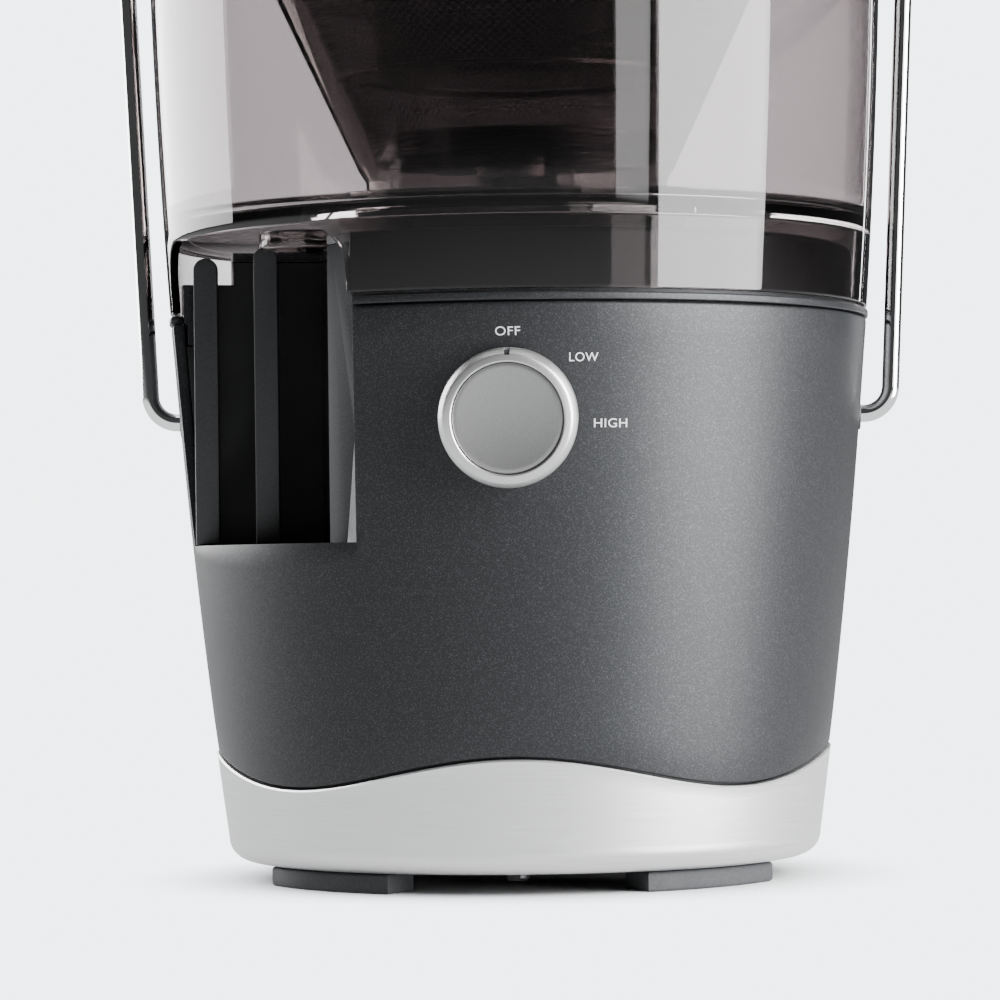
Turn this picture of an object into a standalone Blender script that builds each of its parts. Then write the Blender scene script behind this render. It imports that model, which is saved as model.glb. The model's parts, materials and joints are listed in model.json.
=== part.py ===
"""A centrifugal juicer, standing on its feet with the speed dial facing -Y.

Sizes below are in millimetres, and MM turns them into Blender's metres. Z is up, the axis of the
machine is the Z axis, and azimuths are in degrees from the front, positive towards +X.
"""

import math

import bmesh
import bpy
from mathutils import Matrix, Vector

MM = 0.001
GAP = 0.3

# The outer wall's radius follows a parabola in height: R(z) = WALL_BASE + WALL_TAPER z - WALL_CURVE z^2.
WALL_BASE = 84.15
WALL_TAPER = 0.1424
WALL_CURVE = 0.000214

# Heights of the base, from the table up.
FOOT_HEIGHT = 5.6
BAND_BOTTOM = 5.9
BAND_CORNER = 6.5
SEAM_HEIGHT = 33.5
SEAM_WAVE = 4.5
SEAM_WAVES_ROUND = 4
LIP_BOTTOM = 25.0
GLAND_HEIGHT = 19.0
BAY_FLOOR = 97.0
DIAL_HEIGHT = 130.0
PIVOT_HEIGHT = 133.5
HOUSING_TOP = 161.0
TRIM_TOP = 163.4
SKIRT_BOTTOM = 164.3
DECK_TOP = 181.7
BASIN_FLOOR = 185.0
BASIN_TOP = 283.0
CHUTE_TOP = 392.0
OVERALL_HEIGHT = 412.0

# Radii and thicknesses.
HOUSING_WALL = 3.0
BAND_WALL = 2.5
BAND_PROUD = 0.4
BASIN_WALL = 2.5
COLLAR_RADIUS = 98.5
LID_RADIUS = 111.0
CHUTE_OUTER = 40.5
CHUTE_INNER = 38.0
DRUM_RADIUS = 44.0
WELL_RADIUS = 46.5
WELL_FLOOR = 167.7
BASE_PLATE_RADIUS = 79.1
SCREW_CIRCLE = 72.0
SHAFT_RADIUS = 4.0
SHAFT_BORE = 4.3

# The bay for the jug, in the front left of the base.
BAY_AZIMUTHS = (-77.0, -25.0)
BAY_BACK = 58.5
BAY_SIDE_X = -42.3
CHEEK_FRONT = (BAY_SIDE_X, -86.0)
CHEEK_AZIMUTH = -35.0
CHEEK_REACH = 88.0
CHEEK_INNER = 83.0
LINER_WALL = 2.2
LINER_SIDE = 2.4
OUTSIDE = 137.0

# The notch in the deck's rim beside the bay, through which light comes in from the side.
NOTCH_AZIMUTHS = (-125.0, -76.0)
NOTCH_RADIUS = 84.0
NOTCH_FLOOR = 172.5

# The open trough that leads the juice out over the bay.
SPOUT_AZIMUTH = -50.0
SPOUT_REACH = 78.0
SPOUT_WIDTH = 23.0
SPOUT_WALL = 2.0
TROUGH_BOTTOM = 179.6
TROUGH_FLOOR = 181.2
TROUGH_TOP = 184.6

# The dial.
DIAL_RADIUS = 18.7
DIAL_DEPTH = 11.0

# The chrome bail that locks the lid.
WIRE_RADIUS = 2.5
BAIL_FOOT = 108.2
BAIL_SHOULDER = (116.3, 0.0, 308.0)
BAIL_CORNER = (45.0, 56.0, 328.0)
GRIP_HALF_LENGTH = 36.0
GRIP_RADIUS = 7.0

FINE = 32
MEDIUM = 24
COARSE = 12

MATERIALS = {
    "grey_metallic_paint": ((0.075, 0.076, 0.08), 0.38, 0.6),
    "brushed_silver": ((0.72, 0.72, 0.73), 0.32, 0.9),
    "dial_aluminium": ((0.74, 0.74, 0.74), 0.34, 0.9),
    "chrome": ((0.85, 0.85, 0.86), 0.06, 1.0),
    "smoky_clear": ((0.42, 0.37, 0.39), 0.05, 0.0),
    "black_gloss": ((0.012, 0.012, 0.013), 0.12, 0.0),
    "black_plastic": ((0.03, 0.03, 0.032), 0.5, 0.0),
    "dark_rubber": ((0.045, 0.047, 0.05), 0.8, 0.0),
    "steel": ((0.62, 0.62, 0.63), 0.25, 1.0),
    "laminated_steel": ((0.3, 0.3, 0.31), 0.45, 1.0),
    "copper": ((0.72, 0.3, 0.14), 0.35, 1.0),
    "seal_rubber": ((0.5, 0.5, 0.52), 0.6, 0.0),
    "screw_steel": ((0.45, 0.45, 0.46), 0.35, 1.0),
}


def clear_scene():
    for obj in list(bpy.data.objects):
        bpy.data.objects.remove(obj, do_unlink=True)


def new_collection(name, for_render=True):
    collection = bpy.data.collections.new(name)
    bpy.context.scene.collection.children.link(collection)
    collection.hide_render = not for_render
    return collection


def make_material(name):
    colour, roughness, metallic = MATERIALS[name]
    material = bpy.data.materials.new(name)
    material.use_nodes = True
    shader = material.node_tree.nodes["Principled BSDF"]
    shader.inputs["Base Color"].default_value = (*colour, 1.0)
    shader.inputs["Roughness"].default_value = roughness
    shader.inputs["Metallic"].default_value = metallic
    if name == "smoky_clear":
        shader.inputs["Transmission Weight"].default_value = 0.9
    return material


clear_scene()
PARTS = new_collection("centrifugal_juicer")
CUTTERS = new_collection("cutters", for_render=False)
SURFACES = {name: make_material(name) for name in MATERIALS}


# ---------------------------------------------------------------- shapes


def wall_radius(z):
    return WALL_BASE + WALL_TAPER * z - WALL_CURVE * z * z


def seam_height(azimuth):
    """The wavy seam between the silver band and the housing."""
    return SEAM_HEIGHT + SEAM_WAVE * math.cos(SEAM_WAVES_ROUND * math.radians(azimuth))


def polar(radius, azimuth):
    angle = math.radians(azimuth)
    return radius * math.sin(angle), -radius * math.cos(angle)


def steps(first, last, count):
    return [first + (last - first) * i / (count - 1) for i in range(count)]


def arc(centre, radius, first_angle, last_angle, count):
    """Points of an arc about a centre; angles in degrees from the first axis towards the second."""
    angles = [math.radians(a) for a in steps(first_angle, last_angle, count)]
    return [(centre[0] + radius * math.cos(a), centre[1] + radius * math.sin(a)) for a in angles]


def link(obj, surface):
    """A part goes in the juicer's collection; without a surface it is a cutter."""
    if surface:
        obj.data.materials.append(SURFACES[surface])
        PARTS.objects.link(obj)
    else:
        obj.hide_render = True
        obj.display_type = "WIRE"
        CUTTERS.objects.link(obj)
    return obj


def mesh_object(name, bm, surface):
    bmesh.ops.recalc_face_normals(bm, faces=bm.faces)
    mesh = bpy.data.meshes.new(name)
    bm.to_mesh(mesh)
    bm.free()
    return link(bpy.data.objects.new(name, mesh), surface)


def smooth(obj, angle=35):
    obj.data.shade_smooth()
    obj.data.set_sharp_from_angle(angle=math.radians(angle))
    return obj


def turned(name, profile, surface=None, segments=MEDIUM, closed=True):
    """A profile of (radius, height) points, turned about Z. It runs down the outer side."""
    bm = bmesh.new()
    points = [bm.verts.new((r * MM, 0.0, z * MM)) for r, z in profile]
    for a, b in zip(points, points[1:]):
        bm.edges.new((a, b))
    if closed:
        bm.edges.new((points[-1], points[0]))
    mesh = bpy.data.meshes.new(name)
    bm.to_mesh(mesh)
    bm.free()
    obj = link(bpy.data.objects.new(name, mesh), surface)
    screw = obj.modifiers.new("turn", "SCREW")
    screw.angle = math.tau
    screw.steps = segments
    screw.render_steps = segments
    screw.use_merge_vertices = True
    screw.merge_threshold = 0.00001
    screw.use_smooth_shade = True
    obj.rotation_euler.z = math.pi / segments
    return obj


def solid_of_revolution(name, profile, surface=None, segments=MEDIUM):
    """The same for a profile that starts and ends on the axis."""
    return turned(name, profile, surface, segments, closed=False)


def ring(name, inner, outer, low, high, surface=None, segments=MEDIUM):
    profile = [(outer, high), (outer, low), (inner, low), (inner, high)]
    return turned(name, profile, surface, segments)


def disc(name, radius, low, high, surface=None, segments=COARSE):
    bm = bmesh.new()
    bmesh.ops.create_cone(
        bm,
        cap_ends=True,
        segments=segments,
        radius1=radius * MM,
        radius2=radius * MM,
        depth=(high - low) * MM,
    )
    bmesh.ops.translate(bm, vec=(0.0, 0.0, (low + high) / 2 * MM), verts=bm.verts)
    return mesh_object(name, bm, surface)


def box(name, low, high, surface=None):
    bm = bmesh.new()
    size = [(b - a) * MM for a, b in zip(low, high)]
    middle = [(a + b) / 2 * MM for a, b in zip(low, high)]
    bmesh.ops.create_cube(bm, size=1.0)
    bmesh.ops.scale(bm, vec=size, verts=bm.verts)
    bmesh.ops.translate(bm, vec=middle, verts=bm.verts)
    return mesh_object(name, bm, surface)


def round_edges(obj, width):
    modifier = obj.modifiers.new("round", "BEVEL")
    modifier.width = width * MM
    modifier.segments = 1
    modifier.limit_method = "ANGLE"
    modifier.angle_limit = math.radians(40)
    return obj


def outline_block(name, outline, low, high, surface=None):
    """A flat outline in X and Y, standing from one height to another."""
    curve = bpy.data.curves.new(name + "_outline", "CURVE")
    curve.dimensions = "2D"
    curve.fill_mode = "BOTH"
    curve.extrude = (high - low) / 2 * MM
    spline = curve.splines.new("POLY")
    spline.points.add(len(outline) - 1)
    for point, (x, y) in zip(spline.points, outline):
        point.co = (x * MM, y * MM, 0.0, 1.0)
    spline.use_cyclic_u = True
    return curve_to_mesh(name, curve, Matrix.Translation((0, 0, (low + high) / 2 * MM)), surface)


def curve_to_mesh(name, curve, place, surface):
    source = bpy.data.objects.new(name + "_curve", curve)
    PARTS.objects.link(source)
    source.matrix_world = place
    bpy.context.view_layer.update()
    evaluated = source.evaluated_get(bpy.context.evaluated_depsgraph_get())
    mesh = bpy.data.meshes.new_from_object(evaluated)
    bpy.data.objects.remove(source, do_unlink=True)
    bm = bmesh.new()
    bm.from_mesh(mesh)
    bpy.data.meshes.remove(mesh)
    bmesh.ops.remove_doubles(bm, verts=bm.verts, dist=0.000001)
    bmesh.ops.transform(bm, matrix=place, verts=bm.verts)
    return mesh_object(name, bm, surface)


def wire(name, points, radius, surface):
    """A round wire along points, with flat ends."""
    curve = bpy.data.curves.new(name + "_path", "CURVE")
    curve.dimensions = "3D"
    curve.bevel_depth = radius * MM
    curve.bevel_resolution = 2
    curve.use_fill_caps = True
    spline = curve.splines.new("POLY")
    spline.points.add(len(points) - 1)
    for point, place in zip(spline.points, points):
        point.co = (*[c * MM for c in place], 1.0)
    return smooth(curve_to_mesh(name, curve, Matrix.Identity(4), surface))


def rounded_path(corners, radii, count=6):
    """A path through corners, each inner corner rounded to its radius."""
    corners = [Vector(c) for c in corners]
    path = [corners[0]]
    for before, corner, after, radius in zip(corners, corners[1:], corners[2:], radii):
        back = (before - corner).normalized()
        ahead = (after - corner).normalized()
        half = back.angle(ahead) / 2
        centre = corner + (back + ahead).normalized() * (radius / math.sin(half))
        start = (corner + back * (radius / math.tan(half)) - centre).normalized()
        end = (corner + ahead * (radius / math.tan(half)) - centre).normalized()
        path += [centre + start.slerp(end, i / (count - 1)) * radius for i in range(count)]
    return path + [corners[-1]]


def sector(inner, outer, azimuths, count=12):
    """The outline of a slice of a ring, between two azimuths."""
    first, last = azimuths
    out = [polar(outer, a) for a in steps(first, last, count)]
    back = [polar(inner, a) for a in steps(last, first, count)]
    return out + back


def boolean(obj, other, operation):
    modifier = obj.modifiers.new(f"{operation.lower()} {other.name}", "BOOLEAN")
    modifier.object = other
    modifier.operation = operation
    modifier.solver = "EXACT"
    return obj


def cut(obj, other):
    return boolean(obj, other, "DIFFERENCE")


def join(obj, other):
    return boolean(obj, other, "UNION")


def keep_inside(obj, other):
    return boolean(obj, other, "INTERSECT")


def turn_to(obj, direction, place=(0.0, 0.0, 0.0)):
    """Turns an object made along Z to lie along another direction, at a place."""
    obj.matrix_world = Matrix.Translation([c * MM for c in place]) @ (
        Vector(direction).to_track_quat("Z", "Y").to_matrix().to_4x4()
    )
    return obj


def joint_empty(name, place, direction=(0.0, 0.0, 1.0)):
    empty = bpy.data.objects.new(name, None)
    PARTS.objects.link(empty)
    return turn_to(empty, direction, place)


def carry(empty, *objects):
    """Hangs objects on a joint's empty, where they stand."""
    bpy.context.view_layer.update()
    for obj in objects:
        place = obj.matrix_world.copy()
        obj.parent = empty
        obj.matrix_parent_inverse = empty.matrix_world.inverted()
        obj.matrix_world = place


# ---------------------------------------------------------------- cutters that several parts share


def wave_cutter(name, lift):
    """A cylinder below the wavy seam, moved up or down to leave the gap."""
    bm = bmesh.new()
    reach = 130.0
    bmesh.ops.create_cone(
        bm,
        cap_ends=True,
        cap_tris=True,
        segments=80,
        radius1=reach * MM,
        radius2=reach * MM,
        depth=1.0 * MM,
    )
    for vert in bm.verts:
        if vert.co.z < 0:
            vert.co.z = -10.0 * MM
        elif vert.co.xy.length < 1.0 * MM:
            vert.co.z = (SEAM_HEIGHT + lift) * MM
        else:
            azimuth = math.degrees(math.atan2(vert.co.x, -vert.co.y))
            vert.co.z = (seam_height(azimuth) + lift) * MM
    return mesh_object(name, bm, None)


def bay_cutter():
    """The bay in plan: a round back, a left side along a radius and a right side that slants in."""
    left = BAY_AZIMUTHS[0]
    back = [polar(BAY_BACK, a) for a in steps(left, CHEEK_AZIMUTH, 14)]
    right = [polar(CHEEK_REACH, CHEEK_AZIMUTH), CHEEK_FRONT, (BAY_SIDE_X, -130.0)]
    front = [polar(OUTSIDE, a) for a in steps(-18.0, left, 12)]
    return outline_block("bay_space", back + right + front, BAY_FLOOR, DECK_TOP + 20.0)


def notch_cutter():
    outline = sector(NOTCH_RADIUS, OUTSIDE, NOTCH_AZIMUTHS, count=12)
    return outline_block("rim_notch", outline, NOTCH_FLOOR, DECK_TOP + 20.0)


def duct_outline(width, reach):
    """A straight channel out from the drum with a round end, lying along the spout's azimuth."""
    half = width / 2
    end = [(reach + half * math.cos(a), half * math.sin(a)) for a in steps(-math.pi / 2, math.pi / 2, 10)]
    points = [(40.0, -half)] + end + [(40.0, half)]
    across = math.radians(SPOUT_AZIMUTH)
    out = Vector((math.sin(across), -math.cos(across)))
    side = Vector((-out.y, out.x))
    return [tuple(out * along + side * sideways) for along, sideways in points]


# ---------------------------------------------------------------- the base


def housing(bay):
    """The painted shell. Its inner lip runs on below the wavy seam and closes it from behind."""
    heights = steps(HOUSING_TOP, 50.0, 4)
    outer = [(wall_radius(z), z) for z in heights + [LIP_BOTTOM]]
    lip = [(wall_radius(z) - HOUSING_WALL - 2.0, z) for z in (LIP_BOTTOM, 47.0)]
    inner = [(wall_radius(z) - HOUSING_WALL, z) for z in reversed(heights)]
    obj = turned("housing", outer + lip + inner, "grey_metallic_paint", FINE)
    skin = wave_cutter("below_seam_housing", GAP)
    lip_core = [(wall_radius(z) - HOUSING_WALL + 0.2, z) for z in (60.0, LIP_BOTTOM)]
    lip_core = [(0.0, 60.0)] + lip_core + [(lip_core[-1][0], -20.0), (0.0, -20.0)]
    cut(skin, solid_of_revolution("lip_core", lip_core, segments=FINE))
    cut(obj, skin)
    cut(obj, bay)
    for number, azimuth in enumerate((0, 90, 180, 270)):
        join(obj, screw_boss(number, azimuth))
        x, y = polar(SCREW_CIRCLE, azimuth)
        pilot = disc(f"pilot_hole_{number}", 2.0, 0.0, 28.0, segments=12)
        pilot.location = (x * MM, y * MM, 0.0)
        cut(obj, pilot)
    dial_hole = disc("dial_hole", 4.9, -12.0, 6.0)
    turn_to(dial_hole, DIAL_NORMAL, DIAL_PLACE)
    cut(obj, dial_hole)
    cut(obj, turn_to(disc("pivot_holes", 5.0, -120.0, 120.0), (1, 0, 0), (0, 0, PIVOT_HEIGHT)))
    return obj


def screw_boss(number, azimuth):
    """A post for a base screw, with a web that joins it to the housing's wall."""
    web = box(f"boss_web_{number}", (-1.5, -89.5, 48.0), (1.5, -SCREW_CIRCLE, 60.0))
    post = disc(f"boss_post_{number}", 4.5, 8.7, 60.0, segments=16)
    post.location = (0.0, -SCREW_CIRCLE * MM, 0.0)
    join(web, post)
    spin = Matrix.Rotation(math.radians(azimuth), 4, "Z")
    web.matrix_world = spin @ web.matrix_world
    post.matrix_world = spin @ Matrix.Translation((0.0, -SCREW_CIRCLE * MM, 0.0))
    return web


def accent_band():
    bend = BAND_BOTTOM + BAND_CORNER
    middle = wall_radius(bend) + BAND_PROUD - BAND_CORNER
    heights = (42.0, 27.0, bend)
    outer = [(wall_radius(z) + BAND_PROUD, z) for z in heights[:-1]]
    outer += arc((middle, bend), BAND_CORNER, 0, -90, 6)
    inner = arc((middle, bend), BAND_CORNER - BAND_WALL, -90, 0, 5)
    inner += [(wall_radius(z) + BAND_PROUD - BAND_WALL, z) for z in reversed(heights[:-1])]
    obj = turned("accent_band", outer + inner, "brushed_silver", FINE)
    keep_inside(obj, wave_cutter("below_seam_band", -GAP))
    cut(obj, turn_to(disc("gland_hole", 5.6, 70.0, 100.0), (0, 1, 0), (0, 0, GLAND_HEIGHT)))
    return obj


def cord_gland():
    """The inlet for the mains lead, at the back of the band."""
    face = wall_radius(GLAND_HEIGHT) + BAND_PROUD + 1.2
    profile = [(3.6, face + 3.0), (7.2, face + 3.0), (8.0, face + 2.2), (8.0, face)]
    profile += [(5.2, face), (5.2, face - 10.0), (3.6, face - 10.0)]
    gland = turned("cord_gland", profile, "dark_rubber", COARSE)
    return turn_to(gland, (0, 1, 0), (0, 0, GLAND_HEIGHT))


def base_plate():
    obj = disc("base_plate", BASE_PLATE_RADIUS, BAND_BOTTOM, BAND_BOTTOM + 2.5, "black_plastic", MEDIUM)
    for number in range(4):
        x, y = polar(SCREW_CIRCLE, number * 90)
        hole = disc(f"plate_hole_{number}", 2.1, 0.0, 12.0, segments=12)
        hole.location = (x * MM, y * MM, 0.0)
        cut(obj, hole)
    for number in range(8):
        slot = box(f"vent_{number}", (26.0, -1.5, 0.0), (44.0, 1.5, 12.0))
        slot.rotation_euler.z = math.radians(22.5 + 45 * number)
        cut(obj, slot)
    return obj


def feet():
    corners = {
        "front_right": (27.0, 64.0),
        "rear_right": (116.0, 153.0),
        "rear_left": (207.0, 244.0),
        "front_left": (-64.0, -27.0),
    }
    for corner, azimuths in corners.items():
        foot = outline_block(f"foot_{corner}", sector(65.0, 79.0, azimuths, 9), 0.0, FOOT_HEIGHT, "dark_rubber")
        round_edges(foot, 0.8)


def base_screws():
    profile = [(0.0, 26.0), (1.7, 26.0), (1.7, FOOT_HEIGHT), (3.4, FOOT_HEIGHT), (3.4, 4.6), (2.6, 3.8), (0.0, 3.8)]
    for number in range(4):
        x, y = polar(SCREW_CIRCLE, number * 90)
        screw = solid_of_revolution(f"base_screw_{number + 1}", profile, "screw_steel", 12)
        screw.location = (x * MM, y * MM, 0.0)


def trim_ring(bay):
    obj = ring("trim_ring", COLLAR_RADIUS + GAP, 102.1, HOUSING_TOP + GAP, TRIM_TOP, "grey_metallic_paint", FINE)
    return cut(obj, bay)


def top_deck(bay, notch):
    """The painted collar and deck under the basin, with the well that the juice bowl stands in."""
    profile = [
        (COLLAR_RADIUS - 1.5, DECK_TOP),
        (COLLAR_RADIUS - 0.4, DECK_TOP - 0.4),
        (COLLAR_RADIUS, DECK_TOP - 1.5),
        (COLLAR_RADIUS, HOUSING_TOP + GAP),
        (97.4, HOUSING_TOP + GAP),
        (97.4, 155.0),
        (95.6, 155.0),
        (95.6, DECK_TOP - 2.5),
        (WELL_RADIUS + 2.5, DECK_TOP - 2.5),
        (WELL_RADIUS + 2.5, WELL_FLOOR - 2.5),
        (14.0, WELL_FLOOR - 2.5),
        (14.0, WELL_FLOOR),
        (WELL_RADIUS, WELL_FLOOR),
        (WELL_RADIUS, BASIN_FLOOR - GAP),
        (WELL_RADIUS + 2.5, BASIN_FLOOR - GAP),
        (WELL_RADIUS + 2.5, DECK_TOP),
    ]
    obj = turned("top_deck", profile, "grey_metallic_paint", FINE)
    wall = 2.5
    first, last = NOTCH_AZIMUTHS
    lining = sector(NOTCH_RADIUS - wall, COLLAR_RADIUS - 0.3, (first - wall, last - 3.8), count=12)
    join(obj, outline_block("notch_walls", lining, NOTCH_FLOOR - wall, DECK_TOP - 1.0))
    cut(obj, bay)
    cut(obj, notch)
    cut(obj, trough_passage())
    return obj


def trough_passage():
    """The slot in the deck and the well's wall that the juice trough lies in."""
    half = SPOUT_WIDTH / 2 + 0.6
    slot = box("trough_passage", (30.0, -half, TROUGH_BOTTOM - 0.6), (64.0, half, DECK_TOP + 20.0))
    slot.rotation_euler.z = math.radians(SPOUT_AZIMUTH - 90.0)
    return slot


def bay_limit(name):
    """The room inside the housing and the deck's collar, which the bay's linings fill."""
    top = DECK_TOP - 2.8
    outer = [(95.2, top), (95.2, 154.6)]
    outer += [(wall_radius(z) - HOUSING_WALL - GAP, z) for z in (154.6, 125.0, BAY_FLOOR - 5.0)]
    return solid_of_revolution(name, [(0.0, top)] + outer + [(0.0, BAY_FLOOR - 5.0)], segments=FINE)


def bay_liner(bay, notch):
    """The black lining of the bay's back, left side and floor."""
    azimuths = (BAY_AZIMUTHS[0] - LINER_SIDE, CHEEK_AZIMUTH + LINER_SIDE)
    outline = sector(BAY_BACK - LINER_WALL, 120.0, azimuths, count=16)
    obj = outline_block("bay_liner", outline, BAY_FLOOR - 2.5, DECK_TOP, "black_gloss")
    keep_inside(obj, bay_limit("liner_limit"))
    cut(obj, bay)
    cut(obj, notch)
    gap_degrees = 0.3
    room = sector(CHEEK_INNER - 0.4, OUTSIDE, (CHEEK_AZIMUTH - 1.0 - gap_degrees, BAY_AZIMUTHS[1]), count=6)
    return cut(obj, outline_block("room_for_cheek", room, 0.0, DECK_TOP + 20.0))


def bay_cheek(bay):
    """The painted right side of the bay, which slants in behind the housing's edge."""
    azimuths = (CHEEK_AZIMUTH - 1.0, BAY_AZIMUTHS[1] + LINER_SIDE)
    outline = sector(CHEEK_INNER, 120.0, azimuths, count=6)
    obj = outline_block("bay_cheek", outline, BAY_FLOOR - 2.5, DECK_TOP, "grey_metallic_paint")
    keep_inside(obj, bay_limit("cheek_limit"))
    return cut(obj, bay)


def jug_guides():
    """Two upright plates with round tops that stand on the bay's floor."""
    for name, x, y, top in (("inner", -71.0, -34.2, 182.0), ("outer", -89.0, -27.0, 179.6)):
        half = 3.5
        crown = arc((0.0, top - half), half, 0, 180, 9)
        outline = [(half, BAY_FLOOR + GAP)] + crown + [(-half, BAY_FLOOR + GAP)]
        plate = outline_block(f"jug_guide_{name}", outline, -1.2, 1.2, "black_plastic")
        plate.matrix_world = Matrix.Translation((x * MM, y * MM, 0.0)) @ Matrix.Rotation(math.pi / 2, 4, "X")


# ---------------------------------------------------------------- the dial and its switch

DIAL_LEAN = math.atan(WALL_TAPER - 2 * WALL_CURVE * DIAL_HEIGHT)
DIAL_NORMAL = (0.0, -math.cos(DIAL_LEAN), -math.sin(DIAL_LEAN))
DIAL_PLACE = (0.0, -wall_radius(DIAL_HEIGHT), DIAL_HEIGHT)


def on_dial_axis(obj):
    return turn_to(obj, DIAL_NORMAL, DIAL_PLACE)


def dial():
    """The knob, its face and its shaft, which turn together on the dial's axis."""
    rim = DIAL_RADIUS
    profile = [(0.0, 8.4), (15.1, 8.4), (15.1, 10.3), (15.8, DIAL_DEPTH)]
    profile += arc((rim - 2.4, DIAL_DEPTH - 2.4), 2.4, 80, 0, 5)
    profile += [(rim, 0.8), (3.4, 0.8), (3.4, 7.0), (0.0, 7.0)]
    knob = on_dial_axis(solid_of_revolution("dial_knob", profile, "dial_aluminium", MEDIUM))
    notch = box("pointer_notch", (-0.5, 15.6, 10.2), (0.5, 17.6, 12.0))
    cut(knob, on_dial_axis(notch))
    face_profile = [(0.0, 9.4), (8.0, 9.5), (14.8, 9.9), (14.8, 8.7), (0.0, 8.7)]
    face = on_dial_axis(solid_of_revolution("dial_face", face_profile, "dial_aluminium", MEDIUM))
    shaft = on_dial_axis(disc("dial_shaft", 3.0, -15.0, 6.7, "screw_steel", 16))
    carry(joint_empty("dial_axis", DIAL_PLACE, DIAL_NORMAL), knob, face, shaft)


def rotary_switch():
    """The four-sided switch behind the wall, with its threaded neck and the nut that holds it."""
    body = box("rotary_switch", (-12.0, -12.0, -26.0), (12.0, 12.0, -8.0), "black_plastic")
    join(body, disc("switch_neck", 4.5, -9.0, -0.4))
    cut(body, disc("switch_bore", 3.3, -17.0, 2.0, segments=16))
    on_dial_axis(body)
    for name in ("switch_neck", "switch_bore"):
        on_dial_axis(bpy.data.objects[name])
    on_dial_axis(ring("switch_nut", 5.5, 9.0, -7.6, -4.2, "screw_steel", 6))


# ---------------------------------------------------------------- the motor


def motor():
    ring("motor_stator", 27.6, 42.0, 50.0, 105.0, "laminated_steel", MEDIUM)
    ring("field_coil_lower", 28.6, 37.0, 43.0, 49.7, "copper", COARSE)
    ring("field_coil_upper", 28.6, 37.0, 105.3, 111.5, "copper", COARSE)
    end_bell("end_bell_lower", low=15.0, high=49.7, floor_low=True)
    end_bell("end_bell_upper", low=105.3, high=142.0, floor_low=False)
    ring("bearing_lower", SHAFT_BORE, 11.0, 18.4, 25.4, "steel", COARSE)
    ring("bearing_upper", SHAFT_BORE, 11.0, 131.6, 138.6, "steel", COARSE)
    for side, sign in (("left", -1), ("right", 1)):
        brush = box(f"brush_{side}", (13.6, -3.0, 32.0), (33.0, 3.0, 39.0), "black_plastic")
        if sign < 0:
            brush.rotation_euler.z = math.pi
    for number in range(3):
        mount = disc(f"motor_isolator_{number + 1}", 6.0, 8.7, 14.7, "dark_rubber", 16)
        x, y = polar(35.0, 120 * number)
        mount.location = (x * MM, y * MM, 0.0)


def end_bell(name, low, high, floor_low):
    """A cup that holds a bearing and clamps one end of the stator, with openings for air."""
    outer, inner, plate = 42.0, 39.0, 3.0
    if floor_low:
        seat = low + 11.0
        profile = [(outer, high), (outer, low), (0.0, low), (0.0, low + plate), (11.3, low + plate)]
        profile += [(11.3, seat), (13.5, seat), (13.5, low + plate), (inner, low + plate), (inner, high)]
        profile = profile[3:] + profile[:3]
    else:
        seat = high - 11.0
        profile = [(inner, low), (inner, high - plate), (13.5, high - plate), (13.5, seat), (11.3, seat)]
        profile += [(11.3, high - plate), (5.0, high - plate), (5.0, high), (outer, high), (outer, low)]
        profile = profile[6:] + profile[:6]
    bell = turned(name, profile, "laminated_steel", MEDIUM, closed=not floor_low)
    middle = (low + high) / 2
    for number in range(2):
        window = box(f"{name}_window_{number}", (-60.0, -9.0, middle - 8.0), (60.0, 9.0, middle + 7.0))
        window.rotation_euler.z = math.radians(45 + 90 * number)
        cut(bell, window)
    return bell


def spinning_core():
    """Everything on the motor's shaft, below the sieve."""
    shaft = disc("motor_shaft", SHAFT_RADIUS, 18.6, 203.0, "steel", 16)
    armature = ring("motor_armature", SHAFT_BORE, 27.0, 54.0, 101.0, "laminated_steel", MEDIUM)
    commutator = ring("commutator", SHAFT_BORE, 13.0, 29.0, 42.0, "copper", COARSE)
    fan = cooling_fan()
    coupling_profile = [(0.0, 206.4), (6.5, 206.4), (8.0, 204.9), (8.0, 168.5)]
    coupling_profile += [(SHAFT_BORE, 168.5), (SHAFT_BORE, 203.4), (0.0, 203.4)]
    coupling = solid_of_revolution("drive_coupling", coupling_profile, "black_plastic", 12)
    return [shaft, armature, commutator, fan, coupling]


def cooling_fan():
    hub = ring("cooling_fan", SHAFT_BORE, 34.0, 113.5, 115.5, "black_plastic", COARSE)
    for number in range(8):
        blade = box(f"fan_blade_{number}", (9.0, -0.8, 115.0), (33.0, 0.8, 124.0))
        blade.rotation_euler.z = math.radians(45 * number + 10)
        join(hub, blade)
    return hub


def shaft_seal():
    ring("shaft_seal", 4.6, 13.7, 163.6, 167.4, "seal_rubber", COARSE)


def interlock_switch():
    """The switch that senses the end of the bail, inside the right pivot."""
    body = box("interlock_switch", (68.0, -8.0, 127.0), (84.0, 8.0, 140.0), "black_plastic")
    plunger = turn_to(disc("interlock_plunger", 1.8, 83.0, 87.5, segments=12), (1, 0, 0), (0, 0, PIVOT_HEIGHT))
    join(body, plunger)


# ---------------------------------------------------------------- basin, bowl and sieve


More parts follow.
